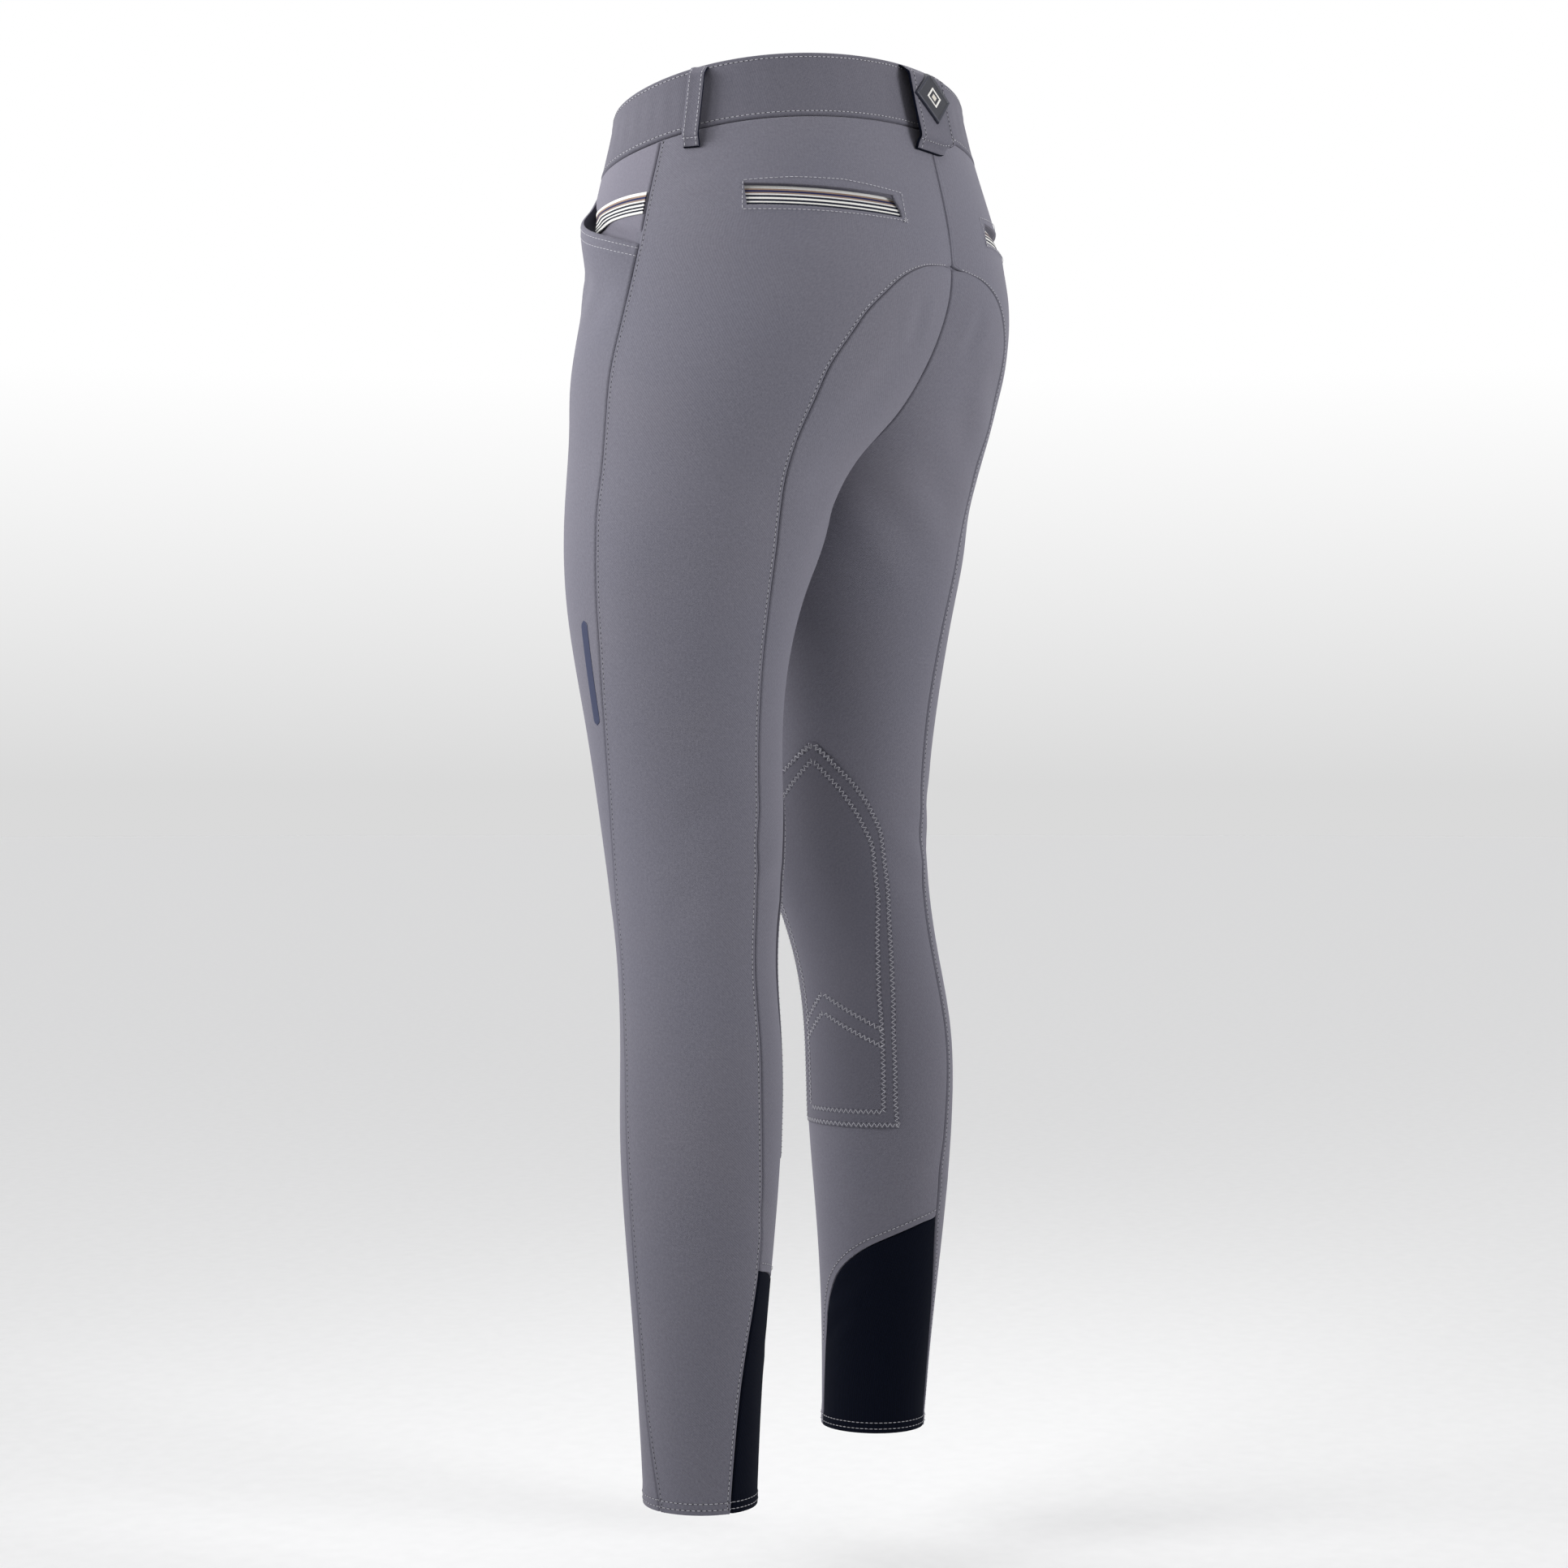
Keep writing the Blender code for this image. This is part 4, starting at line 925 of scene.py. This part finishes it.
def strap(name, centre, width, h_top, h_low, stand, thick, material, soft_corner=0.0):
    """A strip sewn at its two ends, its lower end turned under, standing off between them."""
    u = edge_rows(6, width)[None]
    v = np.concatenate([np.linspace(0, .12, 10), np.linspace(.12, .88, 26)[1:-1],
                        np.linspace(.88, 1, 10)])[:, None]
    x = (u - 0.5) * width + 0 * v
    h = h_low + (h_top - h_low) * v + 0 * u
    if soft_corner:
        near = np.clip(1 - (v * (h_top - h_low)) / soft_corner, 0, 1) * (u < .5)
        h = h + soft_corner * near ** 2 * ease((.26 - u) / .26) * 0.9
    p, n = centre(x, h)
    ramp = ease(v / 0.16) * ease((1 - v) / 0.14)
    stand_off = 0.00045 + (stand + 0.0016) * ramp
    fold = 0.0011 * ease((0.15 - v) / 0.05) + 0.0006 * ease((v - .90) / .05)
    d = np.minimum(u, 1 - u) * width
    rise = edge_shape("free", d) + fold + 0.00025 * ease((0.0045 - d) / 0.002)
    rise = rise - 0.0007 * np.clip(1 - v * (h_top - h_low) / 0.0012, 0, 1) ** 2
    rise = rise - 0.0012 * np.clip(1 - (1 - v) * (h_top - h_low) / 0.0018, 0, 1) ** 2
    inner = p + n * stand_off[..., None]
    outer = inner + n * (thick + rise)[..., None]
    # The underside and side edges are navy knit: a guessed lining, and painted shade for the dark gap under the
    # loop and tab.
    piece = cloth_wall(name, outer, inner, material, navy_lining_and_shade=KNIT)
    run = run_length(p, 1)
    made = {"t": x, "h": h, "at": outer, "out": n, "from": {"L": run, "R": run[:, -1:] - run,
                                                            "B": run_length(p, 0)}}
    return piece, made


def belt_loop(side, name, t_mid):
    def centre(x, h):
        p0 = on_form(t_mid + 0 * h, h, side)
        step = on_form(t_mid + 1 + 0 * h, h, side) - p0
        return on_form(t_mid + x / np.linalg.norm(step, axis=-1), h, side), facing_out(t_mid + 0 * h, h, side)
    top = float(waist_seam(t_mid)) + BAND_W - 0.0012
    return strap(name, centre, LOOP_W, top, float(waist_seam(t_mid)) - 0.013, LOOP_STAND, 0.0018, BAND_TWILL)


TAB_LOW = BAND_SEAM_H + BAND_RISE - 0.0165
TAB_HIGH = BAND_SEAM_H + BAND_RISE + BAND_W - 0.0015


def back_tab(name):
    return strap(name, lambda x, h: place_at(x + TAB_X, h), TAB_W, TAB_HIGH, TAB_LOW, TAB_STAND, 0.0019,
                 BAND_TWILL, soft_corner=0.010)


def badge(name):
    """A moulded rhombus bowed with the tab: raised rim, sunk field, raised inner lines."""
    steps = np.concatenate([np.linspace(-1, -.86, 7), np.linspace(-.84, .84, 43), np.linspace(.86, 1, 7)])
    a, b = np.meshgrid(steps, steps)
    x = (a + b) / 2 * BADGE_W / 2
    h = BAND_SEAM_H + BAND_RISE + 0.0200 + (a - b) / 2 * BADGE_H / 2
    p, n = place_at(x + TAB_X, h)
    v = (h - TAB_LOW) / (TAB_HIGH - TAB_LOW)
    stand = 0.00045 + (TAB_STAND + 0.0016) * ease(v / 0.16) * ease((1 - v) / 0.14) + 0.0020 + 0.0002
    m = np.maximum(abs(a), abs(b))
    rim = ease((m - .84) / .05) - 1.4 * ease((m - .965) / .035)
    lines = ease((m - .28) / .03) * ease((.42 - m) / .03)
    thick = 0.0013 + 0.0006 * rim + 0.00035 * lines + 0.0003 * ease((.17 - m) / .03)
    inner = p + n * stand[..., None]
    outer = inner + n * thick[..., None]
    return cloth_wall(name, outer, inner, RUBBER, np.stack([abs(a), abs(b)], -1))


def side_bar(side, name):
    """A plain printed bar with round ends on the outer thigh."""
    v = np.linspace(0, 1, 41)[:, None]
    u = np.linspace(-1, 1, 13)[None]
    h = BAR_H + BAR_L * v
    t_mid = 156.0 + 1.2 * v
    from_end = np.minimum(v, 1 - v) * BAR_L
    half = BAR_HALF * np.sqrt(np.clip(1 - np.clip(1 - from_end / BAR_HALF, 0, 1) ** 2, 0.0016, 1))
    per_degree = np.linalg.norm(on_form(t_mid + 1, h, side) - on_form(t_mid, h, side), axis=-1)
    t = t_mid + u * half / per_degree
    h = h + 0 * t
    form, out = on_form(t, h, side), facing_out(t, h, side)
    base = fold_depth(form, side) + 0.00008
    top = base + 0.00030 - 0.00012 * (abs(u) > .9)
    return cloth_wall(name, form + out * top[..., None], form + out * base[..., None], FILM)


def waist_button(name):
    """A turned four-hole button on the lapped end of the band, sewn through."""
    h = np.array(float(waist_seam(90)) + BAND_W / 2)
    p, n = place_at(np.array(BUTTON_X), h, back=False)
    x = np.cross((0.0, 0.0, 1.0), n)
    x /= np.linalg.norm(x)
    y = np.cross(n, x)
    place = Matrix([[x[i], y[i], n[i], p[i] + n[i] * (CLOTH + 0.0012)] for i in range(3)] + [[0, 0, 0, 1]])
    bm = bmesh.new()
    bmesh.ops.create_circle(bm, cap_ends=True, segments=48, radius=BUTTON_R * 0.94)
    bmesh.ops.reverse_faces(bm, faces=bm.faces[:])
    up = bmesh.ops.extrude_face_region(bm, geom=bm.faces[:], use_keep_orig=True)["geom"]
    raised = [g for g in up if isinstance(g, bmesh.types.BMVert)]
    bmesh.ops.translate(bm, vec=(0, 0, BUTTON_THICK), verts=raised)
    bmesh.ops.recalc_face_normals(bm, faces=bm.faces[:])
    crown = max(bm.faces, key=lambda f: f.calc_center_median().z)
    bmesh.ops.inset_region(bm, faces=[crown], thickness=0.0016, depth=0.0)
    bmesh.ops.inset_region(bm, faces=[crown], thickness=0.0007, depth=-0.0007)
    rims = [e for e in bm.edges if e.calc_face_angle(0) > 0.35]
    bmesh.ops.bevel(bm, geom=rims, offset=0.00028, segments=3, profile=0.5, affect="EDGES", material=-1)
    for sx in (-1, 1):
        for sy in (-1, 1):
            spot = Matrix.Translation((sx * BUTTON_HOLE, sy * BUTTON_HOLE, 0.00245))
            bmesh.ops.create_cone(bm, cap_ends=True, segments=12, radius1=0.00075, radius2=0.00075,
                                  depth=0.0001, matrix=spot)
    for f in bm.faces:
        f.smooth = True
    for e in bm.edges:
        e.smooth = e.calc_face_angle(0) < 0.7
    bm.transform(place)
    at = np.array(p) + n * (CLOTH + 0.0012 + 0.0026)
    ties = [(at + (x * sx - y) * BUTTON_HOLE, at + (x * sx + y) * BUTTON_HOLE, n) for sx in (-1, 1)]
    return finished(bm, name, RESIN), ties


def seam_allowance(name, line, side, depth):
    """The pressed edges of a seam on the inside of the cloth: one narrow strip behind the gap."""
    nodes = np.array(line, float)
    fine = flow(nodes, np.linspace(0, len(nodes) - 1, 8 * len(nodes)))
    at, out = on_form(fine[:, 0], fine[:, 1], side), facing_out(fine[:, 0], fine[:, 1], side)
    way = np.cross(out, np.gradient(at, axis=0))
    way /= np.linalg.norm(way, axis=-1, keepdims=True)
    spans = np.array([-1.0, -0.85, 0.0, 0.85, 1.0]) * ALLOWANCE_W / 2
    top = at[:, None] + way[:, None] * spans[None, :, None]
    top = top + out[:, None] * (fold_depth(at, side) - depth)[:, None, None]
    top[..., 2] = np.maximum(top[..., 2], 0.0006 - WAIST_H)
    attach(cloth_wall(name, top, top - out[:, None] * 0.0006, TWILL), "root")


# ---- make and sew ------------------------------------------------------------------------------
# Rows of stitches as (angle, height): the back pocket's frame and the tack across its outer end; the inner
# zigzag of the knee patch, rear and fore, up to its peak; its straight rows, at the peak and as two chevrons.
BACK_POCKET_FRAME = [(211.0, .8538), (211.0, .8735), (224, .8765), (237, .8775), (255.4, .8742), (256.6, .8548),
                     (240, .8545), (227, .8542), (211.0, .8538)]
BACK_POCKET_TACK = (256.6, .8548)
PATCH_INNER_ROWS = (
    [(325, .240), (325, .276), (324, .320), (318, .362), (310, .400), (309, .430), (315, .450), (327, .472),
     (347, .4965)],
    [(347, .4965), (367, .472), (382, .450), (392, .430), (397, .400), (397, .362), (394, .320), (394, .276),
     (394, .240)])
PATCH_STRAIGHT_ROWS = (
    [(334, .4960), (347, .5070)], [(347, .5070), (361, .4960)], [(324, .300), (371, .326)],
    [(371, .326), (398, .300)], [(325, .288), (372, .312)], [(372, .312), (398, .288)])
CLOTH_PIECES = (("front_panel", front_panel), ("side_panel", side_panel), ("seat_leg_panel", seat_leg_panel),
                ("stretch_cuff", stretch_cuff), ("knee_patch", knee_patch), ("pocket_facing", pocket_facing))


for word, side in (("left", 1), ("right", -1)):
    made_of = {}
    for part, make in CLOTH_PIECES:
        cloth, made_of[part] = make(side, f"{word}_{part}_cloth")
        settle(cloth, f"{word}_{part}")
    for part, make in (("front_pocket_ribbon", front_ribbon), ("back_pocket_ribbon", back_ribbon)):
        settle(make(side, f"{word}_{part}_weave"), f"{word}_{part}")
    for part, t_mid in LOOP_PLACES:
        cloth, made_of[part] = belt_loop(side, f"{word}_{part}_cloth", t_mid)
        settle(cloth, f"{word}_{part}")

    # The right strips at the middle lie a hair deeper than the left ones that they cross.
    deeper = 0.0001 * (side < 0)
    rise_line = [(float(middle(h, True)), h) for h in (.692,) + BACK_RISE_NODES]
    ring = np.linspace(float(middle(FRONT_RISE_TOP_H, False)), float(middle(SEAT_RISE_TOP_H, True)), 25)
    for seam, line, depth in (
            ("side_seam", side_line(), 0.0016), ("back_seam", seat_line(), 0.0016 + deeper),
            ("inner_seam", inner_line() + front_rise_line(), 0.0016 + 2 * deeper),
            ("seat_rise", rise_line, 0.0016 + 2 * deeper), ("cuff_seam", CUFF_EDGE + [(269, .160)], 0.0016),
            ("waist_seam", [(t, float(waist_seam(t))) for t in ring], 0.0020)):
        seam_allowance(f"{word}_{seam}_allowance", line, side, depth)

    leg = straight_run(beside(made_of["side_panel"], "L", .0030, low=.002))
    back = straight_run(beside(made_of["side_panel"], "R", .0030, low=.002, high=.8318))
    for part in ("front_panel", "side_panel", "seat_leg_panel", "stretch_cuff"):
        for d in (.0034, .0078):
            back += straight_run(beside(made_of[part], "B", d))
    back += straight_run(along(CUFF_STITCHES, side, 0.0004, 80))
    sew(word + "_side_seam_topstitch", leg, GREY_THREAD)
    sew(word + "_back_seam_and_hem_topstitch", back, PALE_THREAD)
    sew(word + "_leg_needle_hole_painted_shade", painted_hole_shade_runs(leg + back), HOLE_SHADE_PAINT)

    pocket = []
    for d in (.0032, .0085):
        pocket += straight_run(beside(made_of["front_panel"], "T", d, t_low=134, t_high=179), *SMALL_STITCH)
    for a, b in zip(BACK_POCKET_FRAME, BACK_POCKET_FRAME[1:]):
        pocket += straight_run(along([a, b], side, FRAME_OUT, 12), *SMALL_STITCH)
    tack_t, tack_h = BACK_POCKET_TACK
    for sx in (-1, 1):
        tack = along([(tack_t - sx * .8, tack_h - .0014), (tack_t + sx * .8, tack_h + .0014)], side, .0009, 6)
        pocket += straight_run(tack, .0020, .0018)
    for part, _ in LOOP_PLACES:
        for edge in "LR":
            pocket += straight_run(beside(made_of[part], edge, .0016), *SMALL_STITCH)
        pocket += straight_run(beside(made_of[part], "B", .0045), 0.0026, 0.0020)
    sew(word + "_pocket_and_loop_topstitch", pocket, PALE_THREAD)

    rim = []
    for edge in "LRB":
        rim += zigzag_run(beside(made_of["knee_patch"], edge, .0022))
    rim += zigzag_run(beside(made_of["knee_patch"], "B", .0120, t_low=325, t_high=395))
    for row in PATCH_INNER_ROWS:
        rim += zigzag_run(along(row, side, PATCH_OUT, 120))
    for row in PATCH_STRAIGHT_ROWS:
        rim += zigzag_run(along(row, side, PATCH_OUT, 40))
    sew(word + "_patch_zigzag", rim, PALE_THREAD)
    # Painted shade in the zigzag's open turns, made of the dark hole material.
    sew(word + "_patch_zigzag_painted_shade", painted_zigzag_shade_runs(rim), HOLE_SHADE_PAINT)

band, band_made = waistband("waistband_cloth")
settle(band, "waistband")
tab, tab_made = back_tab("back_tab_cloth")
settle(tab, "back_tab")
settle(badge("badge_rubber"), "badge")
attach(side_bar(1, "left_side_bar_print"), "root")
button, ties = waist_button("waist_button_resin")
settle(button, "waist_button")
rows = straight_run(beside(band_made, "B", .0030)) + straight_run(beside(band_made, "T", .0030))
rows += straight_run(beside(band_made, "L", .0034, t_low=90))
for edge in "LR":
    rows += straight_run(beside(tab_made, edge, .0038), *SMALL_STITCH)
rows += straight_run(beside(tab_made, "B", .0050), *SMALL_STITCH) + ties
sew("waistband_topstitch", rows, PALE_THREAD)
sew("waistband_needle_hole_painted_shade", painted_hole_shade_runs(rows[:-2]), HOLE_SHADE_PAINT)

# ---- studio --------------------------------------------------------------------------------------
floor_bm = bmesh.new()
bmesh.ops.create_circle(floor_bm, cap_ends=True, segments=96, radius=30.0)
bmesh.ops.translate(floor_bm, vec=(0, 0, -WAIST_H - FLOOR_DROP), verts=floor_bm.verts[:])
paper, tree = fresh("white backdrop paper, matt")
fibre = add(tree, "TexNoise", {"Vector": add(tree, "TexCoord").outputs["Object"], "Scale": 60.0, "Detail": 4.0})
pale = add(tree, "Mix", {0: fibre.outputs[0], 6: linear("#eeeeee"), 7: linear("#f5f5f5")}, **BLEND)
coat = add(tree, "BsdfPrincipled", {"Base Color": pale.outputs[2], "Roughness": 0.9, "Specular IOR Level": 0.1})
add(tree, "OutputMaterial", {"Surface": coat.outputs[0]})
finished(floor_bm, "studio_floor", paper)

world = bpy.data.worlds.new("white studio")
world.use_nodes = True
tree = world.node_tree
# The room's light: white paper behind the breeches, falling off to a dim side. The sweep is the paper as seen.
spread = add(tree, "VectorMath", {0: add(tree, "TexCoord").outputs["Generated"], 1: (-0.819, -0.574, 0.0)},
             operation="DOT_PRODUCT").outputs["Value"]
share = add(tree, "MapRange", {"Value": spread, "From Min": -1.0, "From Max": 1.0}).outputs[0]
room = add(tree, "ValToRGB", {"Fac": share}, stops=[
    (0.00, (0.04, 0.04, 0.043)), (0.40, (0.09, 0.09, 0.095)), (0.72, (0.70, 0.70, 0.71)),
    (0.88, (1.0, 1.0, 1.0))])
level = add(tree, "SeparateXYZ", {0: add(tree, "TexCoord").outputs["Generated"]}).outputs[2]
sweep = add(tree, "ValToRGB", {"Fac": level}, stops=[(0.0, (0.70, 0.70, 0.70)), (0.14, (1.0, 1.0, 1.0))])
seen = add(tree, "LightPath").outputs["Is Camera Ray"]
tone = add(tree, "Mix", {0: seen, 6: room.outputs[0], 7: sweep.outputs[0]}, **BLEND)
tree.links.new(tone.outputs[2], tree.nodes["Background"].inputs[0])
bpy.context.scene.world = world
bpy.context.scene.view_settings.view_transform = "Standard"


def soft_light(name, spot, aim_z, watts):
    """A square softbox, a metre wide, turned to the middle plane at a height."""
    lamp = bpy.data.lights.new(name, "AREA")
    lamp.shape = "RECTANGLE"
    lamp.size = lamp.size_y = 1.0
    lamp.energy = watts
    lamp.spread = math.radians(80)
    box = bpy.data.objects.new(name, lamp)
    bpy.context.scene.collection.objects.link(box)
    box.location = spot
    flat = math.hypot(spot[0], spot[1])
    box.rotation_euler = (math.pi / 2 + math.atan2(aim_z - spot[2], flat), 0, math.atan2(spot[0], -spot[1]))


soft_light("left softbox", (1.62, -1.32, 0.40), 0.22, 10.2)
soft_light("right softbox", (-0.55, 2.2, 0.40), 0.15, 8.4)
soft_light("side fill", (2.3, -0.45, 0.80), 0.10, 4.5)
ceiling = bpy.data.objects.new("ceiling light", bpy.data.lights.new("ceiling light", "SUN"))
ceiling.data.energy = 1.25
ceiling.data.angle = math.radians(100)
ceiling.rotation_euler = (math.radians(8), 0, math.radians(40))
bpy.context.scene.collection.objects.link(ceiling)

camera = bpy.data.objects.new("camera", bpy.data.cameras.new("camera"))
bpy.context.scene.collection.objects.link(camera)
camera.data.lens = 65.74
camera.data.sensor_width = 36.0
camera.location = (1.6653, 1.1531, -0.4470)
camera.rotation_euler = (math.pi / 2, 0, math.radians(125))
bpy.context.scene.camera = camera
